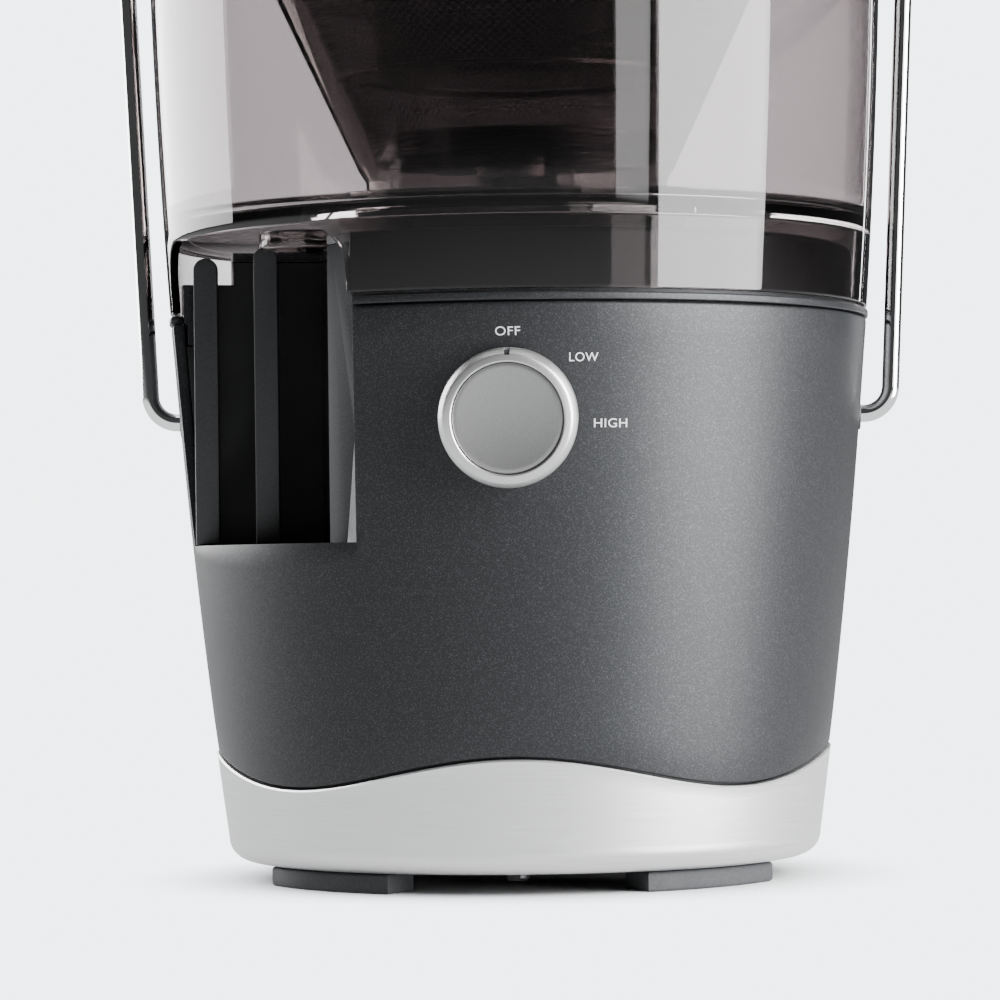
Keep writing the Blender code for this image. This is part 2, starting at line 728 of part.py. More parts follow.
def pulp_basin():
    heights = (BASIN_TOP, 245.0, 205.0, SKIRT_BOTTOM)
    outer = [(wall_radius(z), z) for z in heights]
    under = BASIN_FLOOR
    top = BASIN_FLOOR + 3.8
    hole = 47.5
    inner = [
        (wall_radius(SKIRT_BOTTOM) - BASIN_WALL, SKIRT_BOTTOM),
        (wall_radius(under) - BASIN_WALL, under),
        (hole, under),
        (hole, top + 5.0),
        (hole + 2.2, top + 5.0),
        (hole + 2.2, top),
        (wall_radius(top) - BASIN_WALL - 4.0, top),
        (wall_radius(top) - BASIN_WALL - 1.2, top + 1.2),
        (wall_radius(top) - BASIN_WALL, top + 4.0),
        (wall_radius(245.0) - BASIN_WALL, 245.0),
        (wall_radius(BASIN_TOP) - BASIN_WALL, BASIN_TOP),
    ]
    obj = turned("pulp_basin", outer + inner, "smoky_clear", FINE)
    cut(obj, skirt_window())
    return obj


def skirt_window():
    """The arch in the basin's skirt in front of the bay, with rounded upper corners."""
    half = 44.0
    top = BASIN_FLOOR - 1.0
    radius = 13.0
    outline = [(half, 150.0)]
    outline += arc((half - radius, top - radius), radius, 0, 90, 6)
    outline += arc((-half + radius, top - radius), radius, 90, 180, 6)
    outline += [(-half, 150.0)]
    window = outline_block("skirt_window", outline, 60.0, 130.0)
    upright = Matrix.Rotation(math.pi / 2, 4, "X")
    middle = (BAY_AZIMUTHS[0] + BAY_AZIMUTHS[1]) / 2
    window.matrix_world = Matrix.Rotation(math.radians(middle), 4, "Z") @ upright
    return window


def juice_bowl():
    profile = [
        (71.2, 260.0),
        (46.6, 207.0),
        (44.8, 203.5),
        (DRUM_RADIUS, 200.0),
        (DRUM_RADIUS, 169.5),
        (42.5, 168.0),
        (9.5, 168.0),
        (9.5, 200.0),
        (12.0, 200.0),
        (12.0, 170.2),
        (41.0, 170.2),
        (42.0, 171.2),
        (42.0, 200.5),
        (42.8, 204.2),
        (44.4, 207.6),
        (69.0, 260.0),
    ]
    obj = turned("juice_bowl", profile, "smoky_clear", MEDIUM)
    outside = duct_outline(SPOUT_WIDTH, SPOUT_REACH)
    join(obj, outline_block("trough_outside", outside, TROUGH_BOTTOM, TROUGH_TOP))
    inside = duct_outline(SPOUT_WIDTH - 2 * SPOUT_WALL, SPOUT_REACH)
    cut(obj, outline_block("trough_inside", inside, TROUGH_FLOOR, TROUGH_TOP + GAP))
    x, y = polar(SPOUT_REACH, SPOUT_AZIMUTH)
    mouth = disc("spout_mouth", SPOUT_WIDTH / 2 - SPOUT_WALL - 0.3, 160.0, TROUGH_FLOOR + 0.8)
    mouth.location = (x * MM, y * MM, 0.0)
    cut(obj, mouth)
    return obj


def bowl_seal():
    middle = (DRUM_RADIUS + 47.5) / 2
    profile = arc((middle, 188.0), 1.3, 90, -225, 8)
    turned("bowl_seal", profile, "seal_rubber", MEDIUM)


def sieve():
    """The spinning basket, its rim and the cutting disc in its floor."""
    basket_profile = [
        (0.0, 209.5),
        (40.3, 209.5),
        (41.3, 212.5),
        (64.8, 262.0),
        (66.0, 262.0),
        (42.5, 212.0),
        (41.0, 208.0),
        (12.0, 208.0),
        (12.0, 201.0),
        (8.5, 201.0),
        (8.5, 206.8),
        (0.0, 206.8),
    ]
    basket = solid_of_revolution("sieve_basket", basket_profile, "steel", MEDIUM)
    rim_profile = [(64.5, 266.0), (69.0, 266.0), (69.5, 265.5), (69.5, 262.3), (64.0, 262.3), (64.0, 265.5)]
    rim = turned("sieve_rim", rim_profile, "black_plastic", MEDIUM)
    disc_profile = [(0.0, 215.5), (5.0, 215.5), (7.0, 213.0), (38.0, 212.0), (38.0, 209.8), (0.0, 209.8)]
    cutter = solid_of_revolution("cutting_disc", disc_profile, "steel", MEDIUM)
    return [basket, rim, cutter]


# ---------------------------------------------------------------- lid and pusher


def lid():
    profile = [
        (CHUTE_OUTER, CHUTE_TOP),
        (CHUTE_OUTER, 309.0),
        (42.3, 304.6),
        (48.0, 302.5),
        (75.0, 300.0),
        (96.0, 294.0),
        (103.0, 290.0),
        (LID_RADIUS - 0.8, 290.0),
        (LID_RADIUS, 289.2),
        (LID_RADIUS, BASIN_TOP + GAP),
        (102.0, BASIN_TOP + GAP),
        (102.0, 272.0),
        (99.8, 272.0),
        (99.8, 286.5),
        (94.8, 290.8),
        (74.2, 297.2),
        (50.0, 299.8),
        (CHUTE_OUTER, 300.0),
        (CHUTE_OUTER, 232.0),
        (CHUTE_INNER, 232.0),
        (CHUTE_INNER, CHUTE_TOP),
    ]
    obj = turned("lid", profile, "smoky_clear", FINE)
    join(obj, box("bail_catch", (-12.0, 46.0, 300.3), (12.0, 61.0, 317.5)))
    return obj


def lid_seal():
    ring("lid_seal", 102.3, 104.2, 274.0, 278.0, "seal_rubber", FINE)


def pusher():
    body_profile = [(0.0, 239.0), (34.1, 239.0), (34.1, 388.0), (36.6, 388.0), (36.6, 238.0), (34.6, 236.0), (0.0, 236.0)]
    body = solid_of_revolution("pusher_body", body_profile, "smoky_clear", MEDIUM)
    cap_profile = [(0.0, OVERALL_HEIGHT), (30.0, OVERALL_HEIGHT - 0.6)]
    cap_profile += arc((36.0, 403.5), 7.0, 75, 0, 5)
    cap_profile += [(43.0, CHUTE_TOP + GAP), (33.7, CHUTE_TOP + GAP), (33.7, 380.0)]
    cap_profile += [(31.5, 380.0), (31.5, 402.0), (0.0, 402.0)]
    cap = solid_of_revolution("pusher_cap", cap_profile, "black_plastic", MEDIUM)
    carry(joint_empty("pusher_slide", (0, 0, CHUTE_TOP)), body, cap)


# ---------------------------------------------------------------- the bail


def bail_path():
    """Half of the wire's corners, from the pivot up and over to the middle of the crossbar."""
    right = [(89.5, 0.0, PIVOT_HEIGHT), (BAIL_FOOT, 0.0, PIVOT_HEIGHT), BAIL_SHOULDER, BAIL_CORNER]
    left = [(-x, y, z) for x, y, z in reversed(right)]
    return rounded_path(right + left, (8.0, 22.0, 14.0, 14.0, 22.0, 8.0))


def bail():
    pieces = [wire("bail_wire", bail_path(), WIRE_RADIUS, "chrome")]
    bore = WIRE_RADIUS + GAP
    half = GRIP_HALF_LENGTH
    edge = 2.0
    grip_profile = [(GRIP_RADIUS - edge, half), (GRIP_RADIUS, half - edge), (GRIP_RADIUS, edge - half)]
    grip_profile += [(GRIP_RADIUS - edge, -half), (bore, -half), (bore, half)]
    grip = turned("bail_grip", grip_profile, "black_plastic", COARSE)
    pieces.append(turn_to(grip, (1, 0, 0), (0.0, BAIL_CORNER[1], BAIL_CORNER[2])))
    for side, sign in (("left", -1), ("right", 1)):
        bush_profile = [(4.7, 99.6), (4.7, 94.9), (7.0, 94.9), (7.0, 93.1), (bore, 93.1), (bore, 99.6)]
        bush = turned(f"pivot_bush_{side}", bush_profile, "black_plastic", COARSE)
        turn_to(bush, (sign, 0, 0), (0.0, 0.0, PIVOT_HEIGHT))
        clip = ring(f"pivot_clip_{side}", bore, 6.0, 90.3, 92.8, "steel", COARSE)
        pieces.append(turn_to(clip, (sign, 0, 0), (0.0, 0.0, PIVOT_HEIGHT)))
    carry(joint_empty("bail_axis", (0, 0, PIVOT_HEIGHT), (1, 0, 0)), *pieces)


def build():
    bay = bay_cutter()
    notch = notch_cutter()
    housing(bay)
    accent_band()
    cord_gland()
    base_plate()
    feet()
    base_screws()
    trim_ring(bay)
    top_deck(bay, notch)
    bay_liner(bay, notch)
    bay_cheek(bay)
    jug_guides()
    dial()
    rotary_switch()
    motor()
    shaft_seal()
    interlock_switch()
    pulp_basin()
    juice_bowl()
    bowl_seal()
    lid()
    lid_seal()
    pusher()
    bail()
    carry(joint_empty("drive_axis", (0, 0, 0)), *spinning_core(), *sieve())


build()
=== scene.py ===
"""The centrifugal juicer's looks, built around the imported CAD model.

The profiles below are in millimetres, in the CAD model's own frame, and MM turns them into metres.
A corner is (radius, height, rounding). Azimuths are in degrees from the front, positive towards +X.
"""

import json
import math

import bmesh
import bpy
from mathutils import Matrix, Vector


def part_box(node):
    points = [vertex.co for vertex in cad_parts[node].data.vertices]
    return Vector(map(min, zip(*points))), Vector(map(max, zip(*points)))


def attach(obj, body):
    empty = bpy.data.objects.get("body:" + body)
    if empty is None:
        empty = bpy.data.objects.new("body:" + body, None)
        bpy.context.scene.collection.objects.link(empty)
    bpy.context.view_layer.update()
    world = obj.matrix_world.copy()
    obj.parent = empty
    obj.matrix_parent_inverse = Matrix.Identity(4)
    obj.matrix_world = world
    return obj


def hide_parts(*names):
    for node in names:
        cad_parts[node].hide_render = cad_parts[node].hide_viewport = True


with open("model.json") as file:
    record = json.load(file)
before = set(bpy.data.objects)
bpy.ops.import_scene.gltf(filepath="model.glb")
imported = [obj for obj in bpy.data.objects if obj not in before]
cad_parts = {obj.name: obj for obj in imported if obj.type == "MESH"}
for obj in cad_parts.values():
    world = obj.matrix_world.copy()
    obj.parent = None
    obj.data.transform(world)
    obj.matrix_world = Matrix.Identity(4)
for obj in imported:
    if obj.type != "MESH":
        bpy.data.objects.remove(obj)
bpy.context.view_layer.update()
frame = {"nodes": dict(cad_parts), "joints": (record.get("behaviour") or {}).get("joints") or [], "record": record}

MM = 0.001
ROUND = 192  # segments of a large turned piece
SMALL_ROUND = 96
SMOOTH_ANGLE = 38


# ---------------------------------------------------------------- camera


def make_camera():
    """The view from the front, a little below the middle of the base, close in."""
    distance, azimuth, height = 1.15, math.radians(2.0), 0.0876
    aim = Vector((-0.0061, 0.0, 0.1096))
    data = bpy.data.cameras.new("camera")
    data.lens = 141.2
    data.sensor_width = 36.0
    camera = bpy.data.objects.new("camera", data)
    bpy.context.scene.collection.objects.link(camera)
    camera.location = (
        distance * math.sin(azimuth) + aim.x,
        -distance * math.cos(azimuth),
        height,
    )
    look = (aim - camera.location).to_track_quat("-Z", "Y")
    roll = Matrix.Rotation(math.radians(-0.72), 3, "Z").to_quaternion()
    camera.rotation_mode = "QUATERNION"
    camera.rotation_quaternion = look @ roll
    bpy.context.scene.camera = camera


make_camera()


# ---------------------------------------------------------------- sizes read from the frame


def low(node, axis=2):
    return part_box(node)[0][axis] / MM


def high(node, axis=2):
    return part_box(node)[1][axis] / MM


def wall_radius(z):
    """The outer wall of the base and the basin, one parabola in height."""
    return 84.15 + 0.1424 * z - 0.000214 * z * z


def seam_height(azimuth):
    return 33.5 + 4.5 * math.cos(4 * math.radians(azimuth))


JOINTS = {joint["name"]: joint for joint in frame["joints"]}
HOUSING_TOP = high("housing")
BAND_BOTTOM = low("accent_band")
SKIRT_BOTTOM = low("pulp_basin")
BASIN_TOP = high("pulp_basin")
DECK_RIM = 181.7
BASIN_FLOOR = 185.0
CUT_TOP = 205.0  # cutters for the bay and its openings end above everything they cut
OUTSIDE = 137.0  # and outside the widest radius
HOUSING_WALL = 3.0
COLLAR_FOOT = 155.0

# the bay at the front left, its slanted right side and its linings
LINER_WALL = 2.5
BAY_FLOOR = low("bay_liner") + LINER_WALL
BAY_AZIMUTHS = (-77.0, -25.0)
BAY_BACK = 58.5
BAY_SIDE_X = -42.3
CHEEK_FRONT = (BAY_SIDE_X, -86.0)
CHEEK_AZIMUTH = -35.0
CHEEK_REACH = 88.0
CHEEK_INNER = 83.0
LINER_SIDE = 2.4

# the open notch beside the bay, and the juice trough over it
NOTCH_AZIMUTHS = (-125.0, -76.0)
NOTCH_RADIUS = 84.0
NOTCH_FLOOR = 172.5
SPOUT_AZIMUTH = -50.0
TROUGH_BOTTOM = 179.6
TROUGH_FLOOR = 181.2
TROUGH_TOP = 184.6
TROUGH_REACH = 78.0

PIVOT_HEIGHT = JOINTS["bail_swing"]["pos_m"][2] / MM
CHUTE_TOP = high("lid")
GAP = 0.3


# ---------------------------------------------------------------- mesh tools


def polar(radius, azimuth):
    """The x and y of a point at a radius and an azimuth."""
    angle = math.radians(azimuth)
    return radius * math.sin(angle), -radius * math.cos(angle)


def spread(first, last, count):
    """Evenly spaced numbers, both ends included."""
    return [first + (last - first) * i / (count - 1) for i in range(count)]


def rounded(corners, closed=True, steps=5):
    """An outline of (x, y, radius) corners, each corner rounded to its own radius."""
    outline = []
    count = len(corners)
    for i, (x, y, radius) in enumerate(corners):
        here = Vector((x, y))
        at_end = not closed and i in (0, count - 1)
        if at_end or radius <= 0:
            outline.append((x, y))
            continue
        before = Vector(corners[i - 1][:2])
        after = Vector(corners[(i + 1) % count][:2])
        back = (before - here).normalized()
        ahead = (after - here).normalized()
        half = max(back.angle(ahead) / 2, 0.02)
        if half > math.radians(89):
            outline.append((x, y))
            continue
        reach = radius / math.tan(half)
        middle = here + (back + ahead).normalized() * (radius / math.sin(half))
        start = here + back * reach - middle
        end = here + ahead * reach - middle
        turn = start.angle_signed(end)
        for step in range(steps):
            spin = Matrix.Rotation(-turn * step / (steps - 1), 2)
            point = middle + spin @ start
            outline.append((point.x, point.y))
    return outline


def smooth(mesh, angle=SMOOTH_ANGLE):
    """Smooth shading, with the edges that turn more than an angle kept sharp."""
    mesh.shade_smooth()
    mesh.set_sharp_from_angle(angle=math.radians(angle))


def object_of(name, bm, smooth_angle=SMOOTH_ANGLE):
    bmesh.ops.recalc_face_normals(bm, faces=bm.faces)
    mesh = bpy.data.meshes.new(name)
    bm.to_mesh(mesh)
    bm.free()
    if smooth_angle:
        smooth(mesh, smooth_angle)
    obj = bpy.data.objects.new(name, mesh)
    bpy.context.scene.collection.objects.link(obj)
    return obj


def loft(name, profile_at, segments=ROUND, closed=True, smooth_angle=SMOOTH_ANGLE):
    """Turns a profile about Z. profile_at gives the (radius, height) points at an azimuth."""
    bm = bmesh.new()
    rings = []
    for i in range(segments):
        azimuth = 360.0 * i / segments
        ring = []
        for radius, z in profile_at(azimuth):
            x, y = polar(radius, azimuth)
            ring.append(bm.verts.new((x * MM, y * MM, z * MM)))
        rings.append(ring)
    count = len(rings[0])
    last = count if closed else count - 1
    for here, there in zip(rings, rings[1:] + rings[:1]):
        for i in range(last):
            j = (i + 1) % count
            bm.faces.new((here[i], there[i], there[j], here[j]))
    bmesh.ops.remove_doubles(bm, verts=bm.verts, dist=1e-7)
    bmesh.ops.dissolve_degenerate(bm, edges=bm.edges, dist=1e-8)
    return object_of(name, bm, smooth_angle)


def turned(name, corners, segments=ROUND, closed=True, steps=5, smooth_angle=SMOOTH_ANGLE):
    """Turns rounded corners about Z. An open outline starts and ends on the axis."""
    outline = rounded(corners, closed, steps)
    return loft(name, lambda azimuth: outline, segments, closed, smooth_angle)


def block(name, outline, bottom, top, bevel=0.0, steps=2):
    """A flat outline standing from one height to another, with rounded rims."""
    bm = bmesh.new()
    base = [bm.verts.new((x * MM, y * MM, bottom * MM)) for x, y in outline]
    face = bm.faces.new(base)
    grown = bmesh.ops.extrude_face_region(bm, geom=[face])["geom"]
    lifted = [item for item in grown if isinstance(item, bmesh.types.BMVert)]
    bmesh.ops.translate(bm, vec=(0, 0, (top - bottom) * MM), verts=lifted)
    bmesh.ops.recalc_face_normals(bm, faces=bm.faces)
    if bevel:
        rims = [e for e in bm.edges if abs(e.verts[0].co.z - e.verts[1].co.z) < 1e-9]
        bmesh.ops.bevel(
            bm, geom=rims, offset=bevel * MM, segments=steps, affect="EDGES", profile=0.5
        )
    return object_of(name, bm)


def apply_all(obj):
    """Makes what the modifiers show the object's own mesh."""
    bpy.context.view_layer.update()
    evaluated = obj.evaluated_get(bpy.context.evaluated_depsgraph_get())
    mesh = bpy.data.meshes.new_from_object(evaluated)
    obj.modifiers.clear()
    obj.data = mesh
    return obj


def boolean(obj, other, operation="DIFFERENCE"):
    """Cuts an object with another, which is used up."""
    modifier = obj.modifiers.new("shape", "BOOLEAN")
    modifier.object = other
    modifier.operation = operation
    modifier.solver = "EXACT"
    apply_all(obj)
    bpy.data.objects.remove(other, do_unlink=True)


def soften(obj, width, angle=50, smooth_angle=SMOOTH_ANGLE):
    """Rounds the sharp edges that a cut leaves, so that they catch the light."""
    modifier = obj.modifiers.new("soften", "BEVEL")
    modifier.width = width * MM
    modifier.segments = 2
    modifier.limit_method = "ANGLE"
    modifier.angle_limit = math.radians(angle)
    modifier.harden_normals = False
    apply_all(obj)
    smooth(obj.data, smooth_angle)


def aim_along(obj, direction, place):
    """Turns an object made along Z to another direction, with its +Y side up, at a place."""
    turn = Vector(direction).to_track_quat("Z", "Y").to_matrix().to_4x4()
    obj.data.transform(Matrix.Translation([c * MM for c in place]) @ turn)
    return obj


def settle(obj, body, surface, slot, *nodes):
    """Gives a piece its material and its body, and hides the CAD nodes that it stands for."""
    obj.data.materials.clear()
    obj.data.materials.append(surface)
    if nodes:
        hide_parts(*nodes)
    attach(obj, body)


def sector(inner, outer, azimuths, count):
    """The outline of a part of a ring."""
    first, last = azimuths
    out = [polar(outer, a) for a in spread(first, last, count)]
    back = [polar(inner, a) for a in spread(last, first, count)]
    return out + back


# ---------------------------------------------------------------- materials


def fill(tree, socket, value):
    """Links a socket to another node's output, or sets it to a constant."""
    if hasattr(value, "is_output"):
        tree.links.new(value, socket)
    else:
        socket.default_value = value


def add_node(tree, kind, values, settings):
    node = tree.nodes.new("ShaderNode" + kind)
    for key, value in settings.items():
        setattr(node, key, value)
    for key, value in (values or {}).items():
        fill(tree, node.inputs[key], value)
    return node


class Nodes:
    """A short way to wire a material's nodes."""

    def __init__(self, name):
        self.material = bpy.data.materials.new(name)
        self.material.use_nodes = True
        self.tree = self.material.node_tree
        self.shader = self.tree.nodes["Principled BSDF"]

    def add(self, kind, values=None, **settings):
        return add_node(self.tree, kind, values, settings)

    def shade(self, **sockets):
        for key, value in sockets.items():
            fill(self.tree, self.shader.inputs[key.replace("_", " ")], value)
        return self.material

    def place(self):
        return self.add("TexCoord").outputs["Object"]

    def around(self, along, up):
        """Coordinates round the Z axis and up it, scaled per metre (round it, at 0.1 m out)."""
        parts = self.add("SeparateXYZ", {0: self.place()}).outputs
        angle = self.add("Math", {0: parts["Y"], 1: parts["X"]}, operation="ARCTAN2").outputs[0]
        turn = self.add("Math", {0: angle, 1: along * 0.1}, operation="MULTIPLY").outputs[0]
        rise = self.add("Math", {0: parts["Z"], 1: up}, operation="MULTIPLY").outputs[0]
        return self.add("CombineXYZ", {0: turn, 1: rise}).outputs[0]

    def noise(self, where, scale, detail=3.0, roughness=0.5):
        values = {"Vector": where, "Scale": scale, "Detail": detail, "Roughness": roughness}
        return self.add("TexNoise", values).outputs["Fac"]

    def cells(self, where, scale):
        return self.add("TexVoronoi", {"Vector": where, "Scale": scale}).outputs["Color"]

    def span(self, value, low_end, high_end, from_low=0.0, from_high=1.0):
        values = {"Value": value, "From Min": from_low, "From Max": from_high}
        values.update({"To Min": low_end, "To Max": high_end})
        return self.add("MapRange", values).outputs[0]

    def mix(self, factor, first, second, blend="MIX"):
        node = self.add("Mix", data_type="RGBA", blend_type=blend)
        for key, value in (("Factor", factor), ("A", first), ("B", second)):
            sockets = [s for s in node.inputs if s.name == key and s.enabled]
            fill(self.tree, sockets[0], value)
        return [s for s in node.outputs if s.enabled][0]

    def bump(self, height, strength, distance):
        values = {"Height": height, "Strength": strength, "Distance": distance}
        return self.add("Bump", values).outputs["Normal"]


def metallic_paint():
    """Dark grey paint with fine metal flakes and a faint orange peel."""
    n = Nodes("grey_metallic_paint")
    place = n.place()
    flake = n.add("SeparateColor", {0: n.cells(place, 4200.0)}).outputs[0]
    fine = n.noise(place, 3600.0, 2.0, 0.6)
    cloudy = n.noise(place, 9.0, 2.0)
    dark = n.mix(n.span(cloudy, 0.35, 0.65), (0.016, 0.017, 0.019, 1), (0.020, 0.021, 0.023, 1))
    speckled = n.mix(n.span(fine, 0.0, 0.6, 0.35, 0.7), dark, (0.034, 0.035, 0.038, 1))
    colour = n.mix(n.span(flake, 0.0, 0.45, 0.7, 1.0), speckled, (0.10, 0.104, 0.11, 1))
    peel = n.noise(place, 420.0, 2.0)
    height = n.add("Math", {0: fine, 1: peel}, operation="ADD").outputs[0]
    return n.shade(
        Base_Color=colour,
        Metallic=0.5,
        Roughness=n.span(fine, 0.36, 0.48),
        Normal=n.bump(height, 0.1, 0.0003),
    )


def painted_shade_matt_paint():
    """The same grey inside the bay, dull, and darker as painted shade for the recess."""
    n = Nodes("painted_shade_matt_paint")
    dust = n.noise(n.place(), 2400.0, 3.0, 0.6)
    # these greys, darker than the outside paint, are painted shade; the dust noise only speckles them
    colour = n.mix(n.span(dust, 0.0, 1.0, 0.35, 0.7), (0.026, 0.027, 0.03, 1), (0.05, 0.052, 0.056, 1))
    return n.shade(
        Base_Color=colour,
        Roughness=n.span(dust, 0.6, 0.75),
        Normal=n.bump(dust, 0.15, 0.0003),
        Specular_IOR_Level=0.12,
    )


def brushed_metal(name, tint, along, up, rough=(0.3, 0.42), metallic=0.9):
    """Metal with hair-fine streaks that run round the Z axis."""
    n = Nodes(name)
    streak = n.noise(n.around(along, up), 1.0, 4.0, 0.65)
    broad = n.noise(n.around(along * 0.4, up * 0.12), 1.0, 2.0)
    darker = tuple(c * 0.86 for c in tint) + (1,)
    lighter = tuple(min(c * 1.06, 1.0) for c in tint) + (1,)
    colour = n.mix(n.span(streak, 0.0, 1.0, 0.3, 0.7), darker, lighter)
    colour = n.mix(n.span(broad, 0.0, 0.25), colour, lighter)
    return n.shade(
        Base_Color=colour,
        Metallic=metallic,
        Roughness=n.span(streak, rough[0], rough[1], 0.3, 0.7),
        Normal=n.bump(streak, 0.06, 0.0003),
        Anisotropic=0.35,
    )


def satin_aluminium(name, shade=1.0):
    """Bead-blasted aluminium with a very fine grain."""
    n = Nodes(name)
    grain = n.noise(n.place(), 3200.0, 2.0, 0.6)
    blotch = n.noise(n.place(), 160.0, 2.0)
    greys = (0.6, 0.74, 0.68)
    # shade below 1 darkens every grey: painted shade
    dark, light, warm = (tuple(c * shade for c in (v, v, v * 0.99)) + (1,) for v in greys)
    colour = n.mix(n.span(grain, 0.0, 1.0, 0.3, 0.7), dark, light)
    colour = n.mix(n.span(blotch, 0.0, 0.22), colour, warm)
    return n.shade(
        Base_Color=colour,
        Metallic=0.92,
        Roughness=n.span(grain, 0.3, 0.42),
        Normal=n.bump(grain, 0.08, 0.0002),
    )


def chrome():
    """Polished chrome, a little smeared."""
    n = Nodes("chrome")
    smear = n.noise(n.place(), 60.0, 3.0)
    colour = n.mix(n.span(smear, 0.0, 1.0), (0.80, 0.80, 0.81, 1), (0.88, 0.88, 0.885, 1))
    return n.shade(Base_Color=colour, Metallic=1.0, Roughness=n.span(smear, 0.03, 0.09))


def smoky_plastic(name, tint, rough=0.015):
    """Clear plastic with a smoky tint, and faint wipe marks that only the gloss shows."""
    n = Nodes(name)
    swirl = n.noise(n.place(), 14.0, 2.0)
    wipe = n.noise(n.around(14.0, 260.0), 1.0, 3.0, 0.6)
    deeper = tuple(c * 0.985 for c in tint) + (1,)
    colour = n.mix(n.span(swirl, 0.0, 1.0, 0.3, 0.7), deeper, tuple(tint) + (1,))
    return n.shade(
        Base_Color=colour,
        Roughness=n.span(wipe, rough, rough + 0.05, 0.4, 0.8),
        Transmission_Weight=1.0,
        IOR=1.46,
    )


def moulded_plastic(name, colour, rough, grain_scale=1500.0, depth=0.1):
    """Moulded plastic: a fine spark-eroded grain, with the gloss varying a little."""
    n = Nodes(name)
    grain = n.noise(n.place(), grain_scale, 3.0, 0.6)
    wear = n.noise(n.place(), 45.0, 3.0)
    lighter = tuple(c * 1.35 + 0.004 for c in colour) + (1,)
    shade = n.mix(n.span(grain, 0.0, 1.0, 0.35, 0.7), tuple(colour) + (1,), lighter)
    return n.shade(
        Base_Color=shade,
        Roughness=n.span(wear, rough * 0.85, rough * 1.15, 0.3, 0.7),
        Normal=n.bump(grain, depth, 0.0003),
    )


def plain_metal(name, colour, rough):
    """Metal with a mottled, slightly uneven gloss."""
    n = Nodes(name)
    mark = n.noise(n.place(), 900.0, 4.0, 0.6)
    darker = tuple(c * 0.8 for c in colour) + (1,)
    shade = n.mix(n.span(mark, 0.0, 1.0, 0.3, 0.7), darker, tuple(colour) + (1,))
    return n.shade(
        Base_Color=shade,
        Metallic=1.0,
        Roughness=n.span(mark, rough * 0.8, rough * 1.3, 0.3, 0.7),
        Normal=n.bump(mark, 0.06, 0.0002),
    )


def laminations():
    """A stack of thin steel sheets, seen from its side."""
    n = Nodes("laminated_steel")
    lines = n.noise(n.around(0.4, 2200.0), 1.0, 2.0)
    shade = n.mix(n.span(lines, 0.0, 1.0, 0.4, 0.6), (0.16, 0.16, 0.165, 1), (0.36, 0.36, 0.37, 1))
    return n.shade(
        Base_Color=shade,
        Metallic=0.9,
        Roughness=n.span(lines, 0.4, 0.55),
        Normal=n.bump(lines, 0.3, 0.0004),
    )


def windings():
    """Varnished copper wire, wound round the Z axis."""
    n = Nodes("copper")
    turns = n.noise(n.around(1.0, 1400.0), 1.0, 1.0)
    shade = n.mix(n.span(turns, 0.0, 1.0, 0.35, 0.65), (0.30, 0.10, 0.035, 1), (0.78, 0.34, 0.15, 1))
    return n.shade(
        Base_Color=shade,
        Metallic=0.9,
        Roughness=n.span(turns, 0.25, 0.4),
        Normal=n.bump(turns, 0.5, 0.0005),
    )


SURFACES = {
    "grey_metallic_paint": metallic_paint(),
    "brushed_silver": brushed_metal("brushed_silver", (0.80, 0.80, 0.805), 30.0, 5200.0),
    "painted_shade_matt_paint": painted_shade_matt_paint(),
    "dial_aluminium": satin_aluminium("dial_aluminium"),
    # the knob's aluminium at half brightness: painted shade for the face sunk inside the ring
    "shaded_dial_face_aluminium": satin_aluminium("shaded_dial_face_aluminium", 0.5),
    "chrome": chrome(),
    "smoky_clear": smoky_plastic("smoky_clear", (0.37, 0.335, 0.335)),
    "black_gloss": moulded_plastic("black_gloss", (0.006, 0.006, 0.007), 0.55, 60.0, 0.01),
    "black_plastic": moulded_plastic("black_plastic", (0.022, 0.023, 0.025), 0.42),
    "dark_rubber": moulded_plastic("dark_rubber", (0.035, 0.037, 0.04), 0.72, 1100.0, 0.2),
    "steel": brushed_metal("steel", (0.62, 0.62, 0.63), 20.0, 3000.0, (0.2, 0.34), 1.0),
    "laminated_steel": laminations(),
    "copper": windings(),
    "seal_rubber": moulded_plastic("seal_rubber", (0.20, 0.20, 0.21), 0.6, 700.0, 0.1),
    # near-black screws: painted shade, so the screws under the base look like the shadow there
    "screw_steel": plain_metal("screw_steel", (0.05, 0.05, 0.052), 0.45),
    "label_ink": moulded_plastic("label_ink", (0.62, 0.63, 0.64), 0.5, 2500.0, 0.05),
    # the smoky plastic with a deeper tint: painted shade for the bowl inside the basin and lid
    "shaded_drum_plastic": smoky_plastic("shaded_drum_plastic", (0.30, 0.27, 0.27), 0.03),
}


def dress_cad_nodes():
    """Every CAD node takes the material of its slot; the ones that stay on show keep it."""
    for subpart in frame["record"]["subparts"]:
        node = frame["nodes"][subpart["node"]]
        node.data.materials.clear()
        node.data.materials.append(SURFACES[subpart["material_slot"]])


dress_cad_nodes()


# ---------------------------------------------------------------- the base


def bay_space(name):
    """The bay in plan: a round back, a left side along a radius and a right side that slants in."""
    left = BAY_AZIMUTHS[0]
    back = [polar(BAY_BACK, a) for a in spread(left, CHEEK_AZIMUTH, 48)]
    right = [polar(CHEEK_REACH, CHEEK_AZIMUTH), CHEEK_FRONT, (BAY_SIDE_X, -130.0)]
    front = [polar(OUTSIDE, a) for a in spread(-18.0, left, 20)]
    return block(name, back + right + front, BAY_FLOOR, CUT_TOP)


def notch_space(name):
    return block(name, sector(NOTCH_RADIUS, OUTSIDE, NOTCH_AZIMUTHS, 48), NOTCH_FLOOR, CUT_TOP)


def cross_hole(name, radius, direction, centre, half_length):
    """A round cutter along a direction."""
    hole = turned(
        name,
        [(0, half_length, 0), (radius, half_length, 0), (radius, -half_length, 0), (0, -half_length, 0)],
        64,
        closed=False,
    )
    return aim_along(hole, direction, centre)


